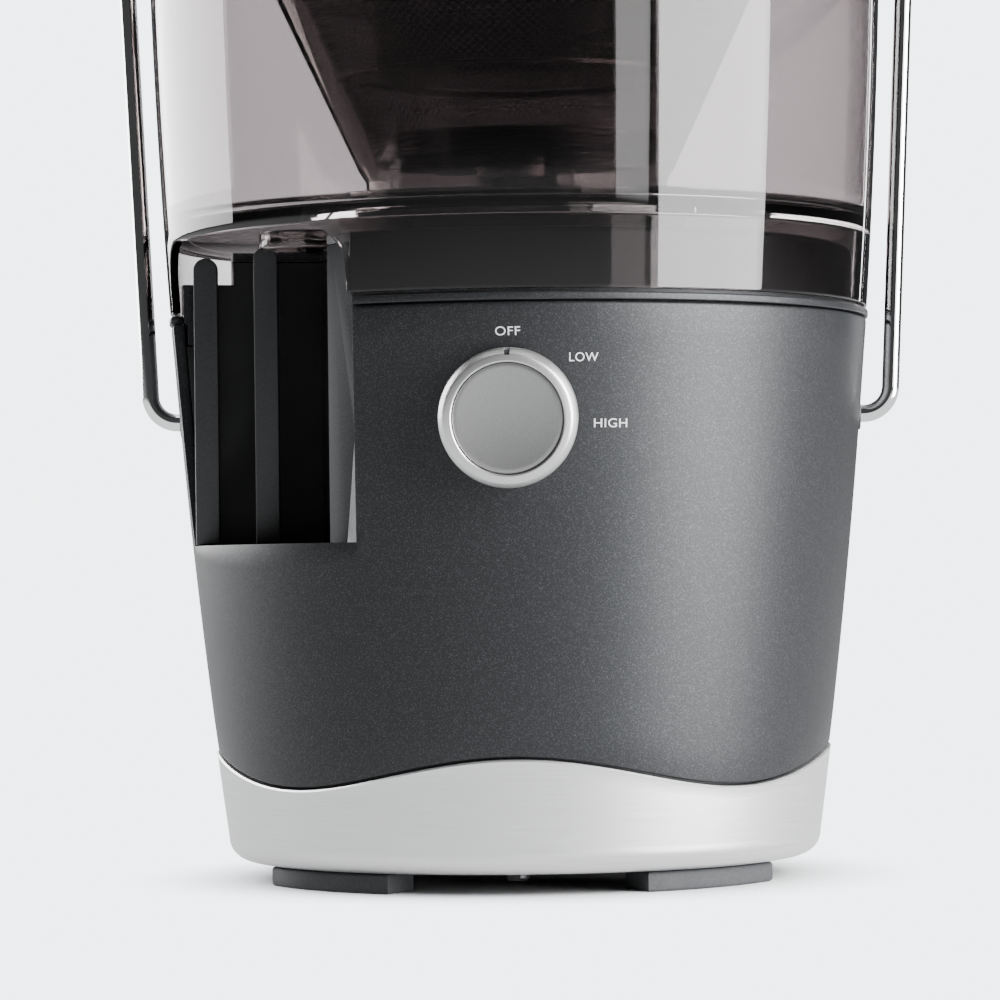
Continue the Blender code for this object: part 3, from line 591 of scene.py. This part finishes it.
def make_housing():
    wall = HOUSING_WALL
    shares = spread(0.0, 1.0, 14)

    def profile(azimuth):
        bottom = seam_height(azimuth) + GAP
        top = HOUSING_TOP
        heights = [bottom + (top - bottom) * share for share in shares[1:-1]]
        outer = [(wall_radius(z), z) for z in reversed(heights)]
        inner = [(wall_radius(z) - wall, z) for z in heights]
        crown = [
            (wall_radius(top) - wall, top),
            (wall_radius(top) - 1.3, top),
            (wall_radius(top) - 0.5, top - 0.2),
            (wall_radius(top) - 0.08, top - 0.65),
            (wall_radius(top), top - 1.3),
        ]
        foot = [
            (wall_radius(bottom), bottom + 0.8),
            (wall_radius(bottom) - 0.15, bottom + 0.25),
            (wall_radius(bottom) - 0.6, bottom),
            (wall_radius(bottom) - wall, bottom),
        ]
        return crown + outer + foot + inner

    shell = loft("housing_shell", profile)
    boolean(shell, bay_space("bay_for_housing"))
    boolean(shell, cross_hole("pivot_bore", 5.0, (1, 0, 0), (0, 0, PIVOT_HEIGHT), 120))
    soften(shell, 0.35)
    settle(shell, "base", SURFACES["grey_metallic_paint"], "grey_metallic_paint", "housing")

    low_end, high_end = 25.0, 46.0  # of the dark lip behind the wavy seam
    lip = turned(
        "seam_lip",
        [
            (wall_radius(high_end) - wall - 0.2, high_end, 0),
            (wall_radius(low_end) - wall - 0.2, low_end, 0.4),
            (wall_radius(low_end) - wall - 2.0, low_end, 0.4),
            (wall_radius(high_end) - wall - 2.0, high_end, 0),
        ],
    )
    settle(lip, "base", SURFACES["black_plastic"], "grey_metallic_paint")


def make_band():
    wall, proud, corner = 2.5, 0.4, 6.5
    bend = BAND_BOTTOM + corner
    middle = wall_radius(bend) + proud - corner
    sweep = [math.radians(a) for a in spread(0, -90, 12)]

    def profile(azimuth):
        top = seam_height(azimuth) - GAP
        edge = wall_radius(top) + proud
        outer = [(edge - wall, top), (edge - 0.9, top), (edge - 0.3, top - 0.12), (edge, top - 0.6)]
        heights = spread(top - 1.2, bend + 1.0, 7)
        outer += [(wall_radius(z) + proud, z) for z in heights]
        outer += [(middle + corner * math.cos(a), bend + corner * math.sin(a)) for a in sweep]
        thin = corner - wall
        inner = [(middle + thin * math.cos(a), bend + thin * math.sin(a)) for a in reversed(sweep)]
        inner += [(wall_radius(z) + proud - wall, z) for z in reversed(heights)]
        return outer + inner

    band = loft("accent_band_skin", profile)
    gland_z = (low("cord_gland") + high("cord_gland")) / 2
    boolean(band, cross_hole("gland_bore", 5.5, (0, 1, 0), (0, 85, gland_z), 20))
    soften(band, 0.25)
    settle(band, "base", SURFACES["brushed_silver"], "brushed_silver", "accent_band")


def make_trim_ring():
    inner, outer = 98.8, 102.1
    bottom, top = low("trim_ring"), high("trim_ring")
    corners = [(outer, top, 0.6), (outer, bottom, 0.3), (inner, bottom, 0), (inner, top, 0.2)]
    ring = turned("trim_ring_skin", corners)
    boolean(ring, bay_space("bay_for_trim"))
    settle(ring, "base", SURFACES["grey_metallic_paint"], "grey_metallic_paint", "trim_ring")


def trough_passage(name):
    """The cut through the deck's well that lets the bowl's trough out."""
    half, start, end = 12.1, 30.0, 64.0
    outline = [(start, -half), (end, -half), (end, half), (start, half)]
    slot = block(name, outline, 179.0, CUT_TOP)
    slot.data.transform(Matrix.Rotation(math.radians(SPOUT_AZIMUTH - 90.0), 4, "Z"))
    return slot


def make_top_deck():
    wall, well, floor = 2.5, 46.5, 167.7
    outer, lower_outer, inner, shaft_hole = 98.5, 97.4, 95.6, 14.0
    shoulder, rim = HOUSING_TOP + GAP, high("top_deck")
    deck = turned(
        "top_deck_shell",
        [
            (outer, DECK_RIM, 2.2),
            (outer, shoulder, 0),
            (lower_outer, shoulder, 0),
            (lower_outer, COLLAR_FOOT, 0.4),
            (inner, COLLAR_FOOT, 0.4),
            (inner, DECK_RIM - wall, 0.6),
            (well + wall, DECK_RIM - wall, 0),
            (well + wall, floor - wall, 0.8),
            (shaft_hole, floor - wall, 0),
            (shaft_hole, floor, 0.4),
            (well, floor, 1.0),
            (well, rim, 0.5),
            (well + wall, rim, 0.5),
            (well + wall, DECK_RIM, 0.8),
        ],
    )
    first, last = NOTCH_AZIMUTHS
    lining = sector(NOTCH_RADIUS - wall, 98.2, (first - 2.5, last - 3.8), 48)
    boolean(deck, block("notch_walls", lining, NOTCH_FLOOR - wall, DECK_RIM - 1.0), "UNION")
    boolean(deck, bay_space("bay_for_deck"))
    boolean(deck, notch_space("notch_for_deck"))
    boolean(deck, trough_passage("passage_for_deck"))
    soften(deck, 0.3)
    settle(deck, "base", SURFACES["grey_metallic_paint"], "grey_metallic_paint", "top_deck")


def bay_limit(name):
    """The room inside the housing and the collar, which the bay's linings fill."""
    top, bottom = DECK_RIM - 2.8, BAY_FLOOR - 5.0
    radius, foot = 95.2, COLLAR_FOOT - 0.4
    limit = [(0.0, top, 0), (radius, top, 0), (radius, foot, 0)]
    limit += [(wall_radius(z) - HOUSING_WALL - GAP, z, 0) for z in spread(foot, bottom, 8)]
    return turned(name, limit + [(0.0, bottom, 0)], closed=False)


def make_bay_liner():
    """The bay's black lining, and the painted cheek that closes its right side."""
    azimuths = (BAY_AZIMUTHS[0] - LINER_SIDE, CHEEK_AZIMUTH + LINER_SIDE)
    outline = sector(BAY_BACK - 2.2, 120.0, azimuths, 56)
    liner = block("bay_lining", outline, BAY_FLOOR - LINER_WALL, DECK_RIM)
    boolean(liner, bay_limit("lining_limit"), "INTERSECT")
    boolean(liner, bay_space("bay_for_lining"))
    boolean(liner, notch_space("notch_for_lining"))
    room = sector(CHEEK_INNER - 0.4, OUTSIDE, (CHEEK_AZIMUTH - 1.3, BAY_AZIMUTHS[1]), 24)
    boolean(liner, block("room_for_cheek", room, 0.0, CUT_TOP))
    soften(liner, 0.5)
    settle(liner, "base", SURFACES["black_gloss"], "black_gloss", "bay_liner")

    azimuths = (CHEEK_AZIMUTH - 1.0, BAY_AZIMUTHS[1] + LINER_SIDE)
    outline = sector(CHEEK_INNER, 120.0, azimuths, 24)
    cheek = block("bay_cheek_panel", outline, BAY_FLOOR - LINER_WALL, DECK_RIM)
    boolean(cheek, bay_limit("cheek_limit"), "INTERSECT")
    boolean(cheek, bay_space("bay_for_cheek"))
    soften(cheek, 0.6)
    # the cheek takes the grey paint darkened as painted shade
    settle(cheek, "base", SURFACES["painted_shade_matt_paint"], "grey_metallic_paint", "bay_cheek")


def make_jug_guides():
    for name in ("jug_guide_inner", "jug_guide_outer"):
        x = (low(name, 0) + high(name, 0)) / 2
        y = (low(name, 1) + high(name, 1)) / 2
        half = (high(name, 0) - low(name, 0)) / 2
        thick = (high(name, 1) - low(name, 1)) / 2
        bottom, top = low(name), high(name)
        bend = half * 0.98
        corners = [(half, bottom, 0), (half, top, bend), (-half, top, bend), (-half, bottom, 0)]
        arch = rounded(corners, steps=12)
        plate = block(f"{name}_plate", arch, -thick, thick, bevel=0.5, steps=3)
        upright = Matrix.Translation((x * MM, y * MM, 0)) @ Matrix.Rotation(math.pi / 2, 4, "X")
        plate.data.transform(upright)
        settle(plate, "base", SURFACES["black_plastic"], "black_plastic", name)


def make_feet():
    spans = {
        "foot_front_right": (27.0, 64.0),
        "foot_rear_right": (116.0, 153.0),
        "foot_rear_left": (207.0, 244.0),
        "foot_front_left": (-64.0, -27.0),
    }
    for name, azimuths in spans.items():
        outline = sector(65.0, 79.0, azimuths, 28)
        foot = block(f"{name}_pad", outline, 0.0, high(name), bevel=0.9, steps=3)
        settle(foot, "base", SURFACES["dark_rubber"], "dark_rubber", name)


def make_cord_gland():
    """The lead's inlet: a flanged rubber bush with ribs inside its mouth."""
    middle = (low("cord_gland") + high("cord_gland")) / 2
    outer = high("cord_gland", 1)
    inner = low("cord_gland", 1)
    bore, flange, neck, groove = 3.6, 8.0, 5.2, 4.1
    profile = [(bore, outer, 0.6), (flange, outer, 1.0), (flange, outer - 3.0, 0.4)]
    profile += [(neck, outer - 3.0, 0.2), (neck, inner, 0.4), (bore, inner, 0.2)]
    profile += [(bore, outer - 9.0, 0), (groove, outer - 8.4, 0)]
    profile += [(groove, outer - 6.6, 0), (bore, outer - 6.0, 0)]
    gland = turned("cord_gland_bush", profile, SMALL_ROUND)
    aim_along(gland, (0, 1, 0), (0, 0, middle))
    settle(gland, "base", SURFACES["dark_rubber"], "dark_rubber", "cord_gland")


def make_pivot_bushes():
    for side, sign in (("left", -1), ("right", 1)):
        profile = [(4.7, 99.6, 0.5), (4.7, 94.9, 0), (7.0, 94.9, 0.3), (7.0, 93.1, 0.3)]
        profile += [(2.8, 93.1, 0.2), (2.8, 99.6, 0.3)]
        bush = turned(f"pivot_bush_{side}_sleeve", profile, SMALL_ROUND)
        aim_along(bush, (sign, 0, 0), (0, 0, PIVOT_HEIGHT))
        settle(bush, "base", SURFACES["black_plastic"], "black_plastic", f"pivot_bush_{side}")


# ---------------------------------------------------------------- the dial

DIAL = JOINTS["dial_turn"]
DIAL_PLACE = [c / MM for c in DIAL["pos_m"]]
DIAL_NORMAL = (0.0, -DIAL["axis"][1], -DIAL["axis"][2])


def make_dial():
    """The knob with its pointer notch, its face, and the dark floor of the notch."""
    rim, depth = 18.7, 11.0
    knob = turned(
        "dial_knob_ring",
        [
            (0.0, 8.4, 0),
            (15.0, 8.4, 0.2),
            (15.05, 10.7, 0.2),
            (15.4, depth, 0.25),
            (17.2, 10.6, 1.6),
            (rim, 8.6, 1.8),
            (rim, 0.8, 0.4),
            (3.4, 0.8, 0),
            (3.4, 7.0, 0),
            (0.0, 7.0, 0),
        ],
        ROUND,
        closed=False,
        smooth_angle=30,
    )
    outline = [(-0.7, 16.9), (0.7, 16.9), (0.9, 20.0), (-0.9, 20.0)]
    boolean(knob, block("pointer_notch", outline, 7.2, 12.0))
    soften(knob, 0.12, 40, 30)
    face_corners = [(r, 9.2 + 0.8 * (r / 14.3) ** 2, 0) for r in spread(0.0, 14.3, 16)]
    face_corners += [(14.8, 9.85, 0.3), (14.8, 8.7, 0.1), (0.0, 8.7, 0)]
    face = turned("dial_face_disc", face_corners, ROUND, closed=False, smooth_angle=30)
    for piece, node, surface in (
        (knob, "dial_knob", "dial_aluminium"),
        # the face takes the half-bright aluminium, painted shade
        (face, "dial_face", "shaded_dial_face_aluminium"),
    ):
        aim_along(piece, DIAL_NORMAL, DIAL_PLACE)
        settle(piece, "dial", SURFACES[surface], "dial_aluminium", node)
    outline = [(-0.68, 16.75), (0.68, 16.75), (0.68, 18.2), (-0.68, 18.2)]
    mark = block("dial_pointer_mark", outline, 7.3, 9.0)
    aim_along(mark, DIAL_NORMAL, DIAL_PLACE)
    settle(mark, "dial", SURFACES["black_plastic"], "black_plastic")


def make_label(word, azimuth, height, stretch):
    """A word printed on the housing, bent to its wall."""
    curve = bpy.data.curves.new(word, "FONT")
    curve.body = word
    curve.size = 3.4 * MM
    curve.align_x = "CENTER"
    curve.align_y = "CENTER"
    curve.space_character = 1.06
    source = bpy.data.objects.new(word, curve)
    bpy.context.scene.collection.objects.link(source)
    bpy.context.view_layer.update()
    evaluated = source.evaluated_get(bpy.context.evaluated_depsgraph_get())
    flat = bpy.data.meshes.new_from_object(evaluated)
    bpy.data.objects.remove(source, do_unlink=True)
    bm = bmesh.new()
    bm.from_mesh(flat)
    bmesh.ops.remove_doubles(bm, verts=bm.verts, dist=1e-7)
    grown = bmesh.ops.extrude_face_region(bm, geom=list(bm.faces))["geom"]
    lifted = {item for item in grown if isinstance(item, bmesh.types.BMVert)}
    for vert in bm.verts:
        z = height + vert.co.y / MM
        radius = wall_radius(z) + (0.07 if vert in lifted else -0.05)
        turn = azimuth + math.degrees(vert.co.x * stretch / MM / radius)
        x, y = polar(radius, turn)
        vert.co = (x * MM, y * MM, z * MM)
    label = object_of(f"dial_label_{word.lower()}", bm, smooth_angle=0)
    settle(label, "base", SURFACES["label_ink"], "brushed_silver")


def make_labels():
    centre = DIAL_PLACE[2]
    make_label("OFF", 0.0, centre + 22.8, 1.13)
    make_label("LOW", 11.6, centre + 15.7, 1.0)
    make_label("HIGH", 16.0, centre - 2.0, 1.14)


# ---------------------------------------------------------------- basin, bowl and sieve


def make_basin():
    wall, hole = 2.5, 47.5
    floor = BASIN_FLOOR
    top_of_floor = floor + 3.8
    heights = spread(BASIN_TOP - 1.2, SKIRT_BOTTOM + 0.9, 12)
    corners = [(wall_radius(BASIN_TOP), BASIN_TOP, 0.6)]
    corners += [(wall_radius(z), z, 0) for z in heights]
    corners += [
        (wall_radius(SKIRT_BOTTOM), SKIRT_BOTTOM, 0.5),
        (wall_radius(SKIRT_BOTTOM) - wall, SKIRT_BOTTOM, 0.5),
        (wall_radius(floor) - wall, floor, 1.0),
        (hole, floor, 0.3),
        (hole, top_of_floor + 5.0, 0.6),
        (hole + 2.2, top_of_floor + 5.0, 0.6),
        (hole + 2.2, top_of_floor, 1.0),
        (wall_radius(top_of_floor) - wall, top_of_floor, 3.5),
    ]
    inside = [z for z in reversed(heights) if z > top_of_floor + 6.0]
    corners += [(wall_radius(z) - wall, z, 0) for z in inside]
    corners += [(wall_radius(BASIN_TOP) - wall, BASIN_TOP, 0.6)]
    basin = turned("pulp_basin_shell", corners)
    boolean(basin, skirt_window())
    soften(basin, 0.45, 55)
    settle(basin, "base", SURFACES["smoky_clear"], "smoky_clear", "pulp_basin")


def skirt_window():
    """The arched opening in the skirt, in front of the bay."""
    half, top, radius = 44.0, BASIN_FLOOR - 1.0, 13.0
    arch = rounded(
        [(half, 150.0, 0), (half, top, radius), (-half, top, radius), (-half, 150.0, 0)], steps=14
    )
    window = block("skirt_window", arch, 60.0, 130.0)
    middle = (BAY_AZIMUTHS[0] + BAY_AZIMUTHS[1]) / 2
    upright = Matrix.Rotation(math.pi / 2, 4, "X")
    window.data.transform(Matrix.Rotation(math.radians(middle), 4, "Z") @ upright)
    return window


def trough_outline(width):
    """The trough in plan: straight out of the drum, with a round end."""
    half, start = width / 2, 40.0
    bend = spread(-math.pi / 2, math.pi / 2, 28)
    points = [(start, -half)]
    points += [(TROUGH_REACH + half * math.cos(a), half * math.sin(a)) for a in bend]
    points += [(start, half)]
    across = math.radians(SPOUT_AZIMUTH)
    out = Vector((math.sin(across), -math.cos(across)))
    side = Vector((-out.y, out.x))
    return [tuple(out * along + side * sideways) for along, sideways in points]


def make_juice_bowl():
    drum, drum_inner, hub, hub_inner = 44.0, 42.0, 12.0, 9.5
    bottom, floor, shoulder, rim = 168.0, 170.2, 200.0, 260.0
    bowl = turned(
        "juice_bowl_shell",
        [
            (71.2, rim, 0.7),
            (46.6, 207.0, 6.0),
            (drum, shoulder, 5.0),
            (drum, bottom, 1.5),
            (hub_inner, bottom, 0.4),
            (hub_inner, shoulder, 0.6),
            (hub, shoulder, 0.6),
            (hub, floor, 1.5),
            (drum_inner, floor, 1.2),
            (drum_inner, shoulder + 0.5, 5.0),
            (44.4, 207.6, 6.0),
            (69.0, rim, 0.7),
        ],
    )
    outside, inside = trough_outline(23.0), trough_outline(19.0)
    trough = block("trough_outside", outside, TROUGH_BOTTOM, TROUGH_TOP, bevel=0.7, steps=3)
    boolean(bowl, trough, "UNION")
    boolean(bowl, block("trough_inside", inside, TROUGH_FLOOR, TROUGH_TOP + 0.3))
    x, y = polar(TROUGH_REACH, SPOUT_AZIMUTH)
    radius, under, top = 9.2, 160.0, TROUGH_FLOOR + 0.8
    corners = [(0, top, 0), (radius, top, 0), (radius, under, 0), (0, under, 0)]
    mouth = turned("spout_mouth", corners, SMALL_ROUND, closed=False)
    mouth.data.transform(Matrix.Translation((x * MM, y * MM, 0)))
    boolean(bowl, mouth)
    smooth(bowl.data)
    # the bowl takes the deeper-tinted smoky plastic, painted shade
    settle(bowl, "base", SURFACES["shaded_drum_plastic"], "smoky_clear", "juice_bowl")


def make_sieve():
    """The basket: a solid steel pan and rim bands, and a wall of fine diagonal mesh between them."""
    pan = turned(
        "sieve_pan",
        [
            (0.0, 209.5, 0),
            (40.3, 209.5, 1.5),
            (42.6, 214.6, 0),
            (43.9, 214.9, 0.1),
            (42.5, 212.0, 2.0),
            (41.0, 208.0, 1.5),
            (12.0, 208.0, 0.5),
            (12.0, 201.0, 0.4),
            (8.5, 201.0, 0.2),
            (8.5, 206.8, 0),
            (0.0, 206.8, 0),
        ],
        SMALL_ROUND * 2,
        closed=False,
    )
    settle(pan, "drive", SURFACES["steel"], "steel", "sieve_basket")
    foot, head = (43.0, 214.4), (65.1, 261.0)
    mesh_wall = lattice_cone("sieve_mesh", foot, head, 132, 22, 0.42)
    settle(mesh_wall, "drive", SURFACES["steel"], "steel")
    for name, z in (("lower", 232.0), ("upper", 250.0)):
        radius = foot[0] + (z - foot[1]) / (head[1] - foot[1]) * (head[0] - foot[0])
        corners = [(radius + 0.9, z + 0.8, 0.3), (radius + 0.9, z - 0.8, 0.3)]
        corners += [(radius - 0.5, z - 0.8, 0.3), (radius - 0.5, z + 0.8, 0.3)]
        settle(turned(f"sieve_hoop_{name}", corners), "drive", SURFACES["steel"], "steel")
    rim = turned(
        "sieve_rim_ring",
        [(64.2, 266.0, 0.8), (69.5, 266.0, 0.8), (69.5, 262.3, 0.5), (66.4, 262.3, 0.2)]
        + [(66.4, 260.2, 0.2), (64.2, 260.2, 0.3)],
    )
    settle(rim, "drive", SURFACES["black_plastic"], "black_plastic", "sieve_rim")


def lattice_cone(name, foot, head, across, up, thick):
    """A cone wall of crossing diagonal wires."""
    bm = bmesh.new()
    grid = []
    for row in range(2 * up + 1):
        share = row / (2 * up)
        radius = foot[0] + (head[0] - foot[0]) * share
        z = foot[1] + (head[1] - foot[1]) * share
        shift = 0.5 * (row % 2)
        ring = []
        for i in range(across):
            x, y = polar(radius, 360.0 * (i + shift) / across)
            ring.append(bm.verts.new((x * MM, y * MM, z * MM)))
        grid.append(ring)
    for row in range(2 * up - 1):
        left, right = (-1, 0) if row % 2 == 0 else (0, 1)
        for i in range(across):
            below, above = grid[row][i], grid[row + 2][i]
            a = grid[row + 1][(i + left) % across]
            b = grid[row + 1][(i + right) % across]
            bm.faces.new((below, b, above, a))
    obj = object_of(name, bm, smooth_angle=0)
    wires = obj.modifiers.new("wires", "WIREFRAME")
    wires.thickness = thick * MM
    wires.use_even_offset = False
    wires.use_boundary = True
    return apply_all(obj)


def make_cutting_disc():
    """A steel disc with rings of small raised teeth."""
    disc = turned(
        "cutting_disc_plate",
        [
            (0.0, 215.5, 0),
            (5.0, 215.5, 1.2),
            (7.0, 213.0, 1.0),
            (38.0, 212.0, 0.4),
            (38.0, 209.8, 0.3),
            (0.0, 209.8, 0),
        ],
        SMALL_ROUND,
        closed=False,
    )
    settle(disc, "drive", SURFACES["steel"], "steel", "cutting_disc")
    bm = bmesh.new()
    for ring in range(7):
        radius = 11.0 + 4.0 * ring
        count = int(radius * 1.1)
        for i in range(count):
            x, y = polar(radius, 360.0 * (i + 0.5 * (ring % 2)) / count)
            place = Matrix.Translation((x * MM, y * MM, 213.2 * MM))
            lean = Matrix.Rotation(math.atan2(y, x), 4, "Z") @ Matrix.Rotation(0.35, 4, "X")
            bmesh.ops.create_cone(
                bm,
                cap_ends=True,
                segments=4,
                radius1=0.9 * MM,
                radius2=0.08 * MM,
                depth=2.6 * MM,
                matrix=place @ lean,
            )
    teeth = object_of("cutting_teeth", bm, smooth_angle=0)
    settle(teeth, "drive", SURFACES["steel"], "steel")


# ---------------------------------------------------------------- lid, pusher and bail


def make_lid():
    flange = 111.0
    under = BASIN_TOP + GAP
    lid = turned(
        "lid_shell",
        [
            (40.5, CHUTE_TOP, 0.8),
            (40.5, 303.6, 5.0),
            (48.0, 302.5, 8.0),
            (75.0, 300.0, 30.0),
            (96.0, 294.0, 12.0),
            (102.0, 290.0, 3.0),
            (flange, 290.0, 1.0),
            (flange, under, 1.0),
            (102.0, under, 0.4),
            (102.0, 272.0, 0.5),
            (99.8, 272.0, 0.5),
            (99.8, 287.2, 3.0),
            (94.8, 290.8, 12.0),
            (74.2, 297.4, 30.0),
            (50.0, 299.8, 8.0),
            (40.5, 300.2, 0.6),
            (40.5, 232.0, 0.8),
            (38.0, 232.0, 0.8),
            (38.0, CHUTE_TOP, 0.8),
        ],
        steps=6,
    )
    arch = rounded([(-12, 46, 0), (12, 46, 0), (12, 61, 4.0), (-12, 61, 4.0)], steps=8)
    boolean(lid, block("catch", arch, 300.3, 317.5, bevel=0.8, steps=3), "UNION")
    smooth(lid.data)
    settle(lid, "base", SURFACES["smoky_clear"], "smoky_clear", "lid")


def make_pusher():
    body = turned(
        "pusher_cup",
        [
            (0.0, 239.0, 0),
            (34.1, 239.0, 2.5),
            (34.1, 388.0, 0.6),
            (36.6, 388.0, 0.6),
            (36.6, 236.0, 3.0),
            (0.0, 236.0, 0),
        ],
        closed=False,
    )
    settle(body, "pusher", SURFACES["smoky_clear"], "smoky_clear", "pusher_body")
    top = high("pusher_cap")
    under = CHUTE_TOP + GAP
    cap = turned(
        "pusher_cap_shell",
        [
            (0.0, top - 1.2, 0),
            (24.0, top - 1.2, 1.5),
            (26.0, top, 1.0),
            (37.0, top - 0.6, 3.0),
            (43.0, top - 7.0, 5.0),
            (43.0, under, 1.0),
            (33.7, under, 0.3),
            (33.7, 380.0, 0.6),
            (31.5, 380.0, 0.6),
            (31.5, 402.0, 1.5),
            (0.0, 402.0, 0),
        ],
        closed=False,
    )
    settle(cap, "pusher", SURFACES["black_plastic"], "black_plastic", "pusher_cap")


def smooth_path(corners, radii, count=16):
    """A path through corners, each inner corner rounded to its radius."""
    corners = [Vector(c) for c in corners]
    path = [corners[0]]
    for before, corner, after, radius in zip(corners, corners[1:], corners[2:], radii):
        back = (before - corner).normalized()
        ahead = (after - corner).normalized()
        half = back.angle(ahead) / 2
        middle = corner + (back + ahead).normalized() * (radius / math.sin(half))
        start = (corner + back * (radius / math.tan(half)) - middle).normalized()
        end = (corner + ahead * (radius / math.tan(half)) - middle).normalized()
        path += [middle + start.slerp(end, i / (count - 1)) * radius for i in range(count)]
    return path + [corners[-1]]


def make_bail():
    """The bent wire from pivot to pivot, and its ribbed grip."""
    right = [(89.5, 0, PIVOT_HEIGHT), (108.2, 0, PIVOT_HEIGHT)]
    right += [(116.3, 0, 308.0), (45.0, 56.0, 328.0)]
    left = [(-x, y, z) for x, y, z in reversed(right)]
    path = smooth_path(right + left, (8.0, 22.0, 14.0, 14.0, 22.0, 8.0))
    curve = bpy.data.curves.new("bail_rod", "CURVE")
    curve.dimensions = "3D"
    curve.bevel_depth = 2.5 * MM
    curve.bevel_resolution = 8
    curve.use_fill_caps = True
    spline = curve.splines.new("POLY")
    spline.points.add(len(path) - 1)
    for point, place in zip(spline.points, path):
        point.co = (*[c * MM for c in place], 1.0)
    spline.use_smooth = True
    rod = bpy.data.objects.new("bail_rod", curve)
    bpy.context.scene.collection.objects.link(rod)
    settle(rod, "bail", SURFACES["chrome"], "chrome", "bail_wire")

    half = (high("bail_grip", 0) - low("bail_grip", 0)) / 2
    centre = [(low("bail_grip", a) + high("bail_grip", a)) / 2 for a in range(3)]
    corners = [(2.8, half, 0.3), (5.6, half, 1.4), (6.6, half - 4.0, 4.0)]
    for at in spread(half - 9.0, 9.0 - half, 9):
        corners += [(6.9, at + 1.2, 0.5), (6.35, at, 0.5), (6.9, at - 1.2, 0.5)]
    corners += [(6.6, 4.0 - half, 4.0), (5.6, -half, 1.4), (2.8, -half, 0.3)]
    grip = turned("bail_grip_sleeve", corners, SMALL_ROUND)
    aim_along(grip, (1, 0, 0), centre)
    settle(grip, "bail", SURFACES["black_plastic"], "black_plastic", "bail_grip")


# ---------------------------------------------------------------- the studio

BACKGROUND = (4.45, 4.75, 4.95, 1)
FLOOR_GLOW = 1.3
ROOM_GLOW = 0.06
# the floor is opaque out to these radii and clear beyond them; the opaque ring is a painted contact shadow
SHADOW_FADE_START, SHADOW_FADE_END = 0.068, 0.118


def make_floor():
    """A pale floor that fades into the background away from the juicer; the opaque ring near the juicer shows
    darker than the background, a painted contact shadow.
    """
    bm = bmesh.new()
    bmesh.ops.create_circle(bm, cap_ends=True, segments=128, radius=6.0)
    floor = object_of("floor", bm, smooth_angle=0)
    n = Nodes("floor_paper")
    place = n.place()
    distance = n.add("VectorMath", {0: place}, operation="LENGTH").outputs["Value"]
    fibre = n.noise(place, 700.0, 3.0)
    colour = n.mix(n.span(fibre, 0.0, 1.0), (0.80, 0.80, 0.805, 1), (0.82, 0.82, 0.825, 1))
    n.shade(Base_Color=colour, Roughness=0.7, Specular_IOR_Level=0.2)
    clear = n.add("BsdfTransparent")
    # the radial fade gives the painted contact shadow its edge
    shadow_fade = n.add(
        "MapRange",
        {"Value": distance, "From Min": SHADOW_FADE_START, "From Max": SHADOW_FADE_END},
        interpolation_type="SMOOTHSTEP",
    )
    mix = n.add("MixShader", {0: shadow_fade.outputs[0]})
    n.tree.links.new(n.shader.outputs[0], mix.inputs[1])
    n.tree.links.new(clear.outputs[0], mix.inputs[2])
    n.tree.links.new(mix.outputs[0], n.tree.nodes["Material Output"].inputs["Surface"])
    floor.data.materials.append(n.material)


def make_world():
    """A pale background. The surfaces reflect a dimmer one: a pale floor below, a dark room above."""
    world = bpy.data.worlds.new("studio")
    bpy.context.scene.world = world
    world.use_nodes = True
    tree = world.node_tree

    def add(kind, values=None, **settings):
        return add_node(tree, kind, values, settings)

    shown = tree.nodes["Background"]
    shown.inputs["Color"].default_value = BACKGROUND
    up = add("SeparateXYZ", {0: add("TexCoord").outputs["Generated"]}).outputs["Z"]
    horizon = {"Value": up, "From Min": -0.12, "From Max": 0.02}
    blend = add("MapRange", horizon, interpolation_type="SMOOTHSTEP")
    level = add("MapRange", {"Value": blend.outputs[0], "To Min": FLOOR_GLOW, "To Max": ROOM_GLOW})
    surround = add("Background", {"Color": (0.97, 0.985, 1.0, 1), "Strength": level.outputs[0]})
    rays = add("LightPath").outputs
    seen = add("Math", {0: rays["Is Camera Ray"], 1: rays["Is Transmission Ray"]}, operation="MAXIMUM")
    bounces = add("Math", {0: rays["Diffuse Depth"], 1: rays["Glossy Depth"]}, operation="ADD")
    direct = add("Math", {0: bounces.outputs[0], 1: 0.5}, operation="LESS_THAN")
    clear = add("Math", {0: seen.outputs[0], 1: direct.outputs[0]}, operation="MULTIPLY")
    mix = add("MixShader", {0: clear.outputs[0]})
    tree.links.new(surround.outputs[0], mix.inputs[1])
    tree.links.new(shown.outputs[0], mix.inputs[2])
    tree.links.new(mix.outputs[0], tree.nodes["World Output"].inputs["Surface"])


def make_softbox(name, azimuth, distance, height, width, tall, power, look_height=0.2):
    """A rectangular light, all lengths in metres, turned towards a height on the axis."""
    data = bpy.data.lights.new(name, "AREA")
    data.shape = "RECTANGLE"
    data.size = width
    data.size_y = tall
    data.energy = power
    light = bpy.data.objects.new(name, data)
    bpy.context.scene.collection.objects.link(light)
    light.location = (*polar(distance, azimuth), height)
    towards = Vector((0, 0, look_height)) - light.location
    light.rotation_euler = towards.to_track_quat("-Z", "Y").to_euler()


def make_lights():
    make_softbox("key_right", 65.0, 1.5, 0.47, 1.1, 1.5, 104.0)
    make_softbox("key_edge", 37.0, 1.5, 0.68, 0.3, 1.1, 6.0)
    make_softbox("rim_left", -125.0, 1.5, 0.70, 1.6, 1.15, 52.0, 0.3)
    make_softbox("overhead", 180.0, 0.4, 1.8, 1.6, 1.6, 18.0)


# ---------------------------------------------------------------- build it all

for make in (
    make_housing,
    make_band,
    make_trim_ring,
    make_top_deck,
    make_bay_liner,
    make_jug_guides,
    make_feet,
    make_cord_gland,
    make_pivot_bushes,
    make_dial,
    make_labels,
    make_basin,
    make_juice_bowl,
    make_sieve,
    make_cutting_disc,
    make_lid,
    make_pusher,
    make_bail,
    make_floor,
    make_world,
    make_lights,
):
    make()
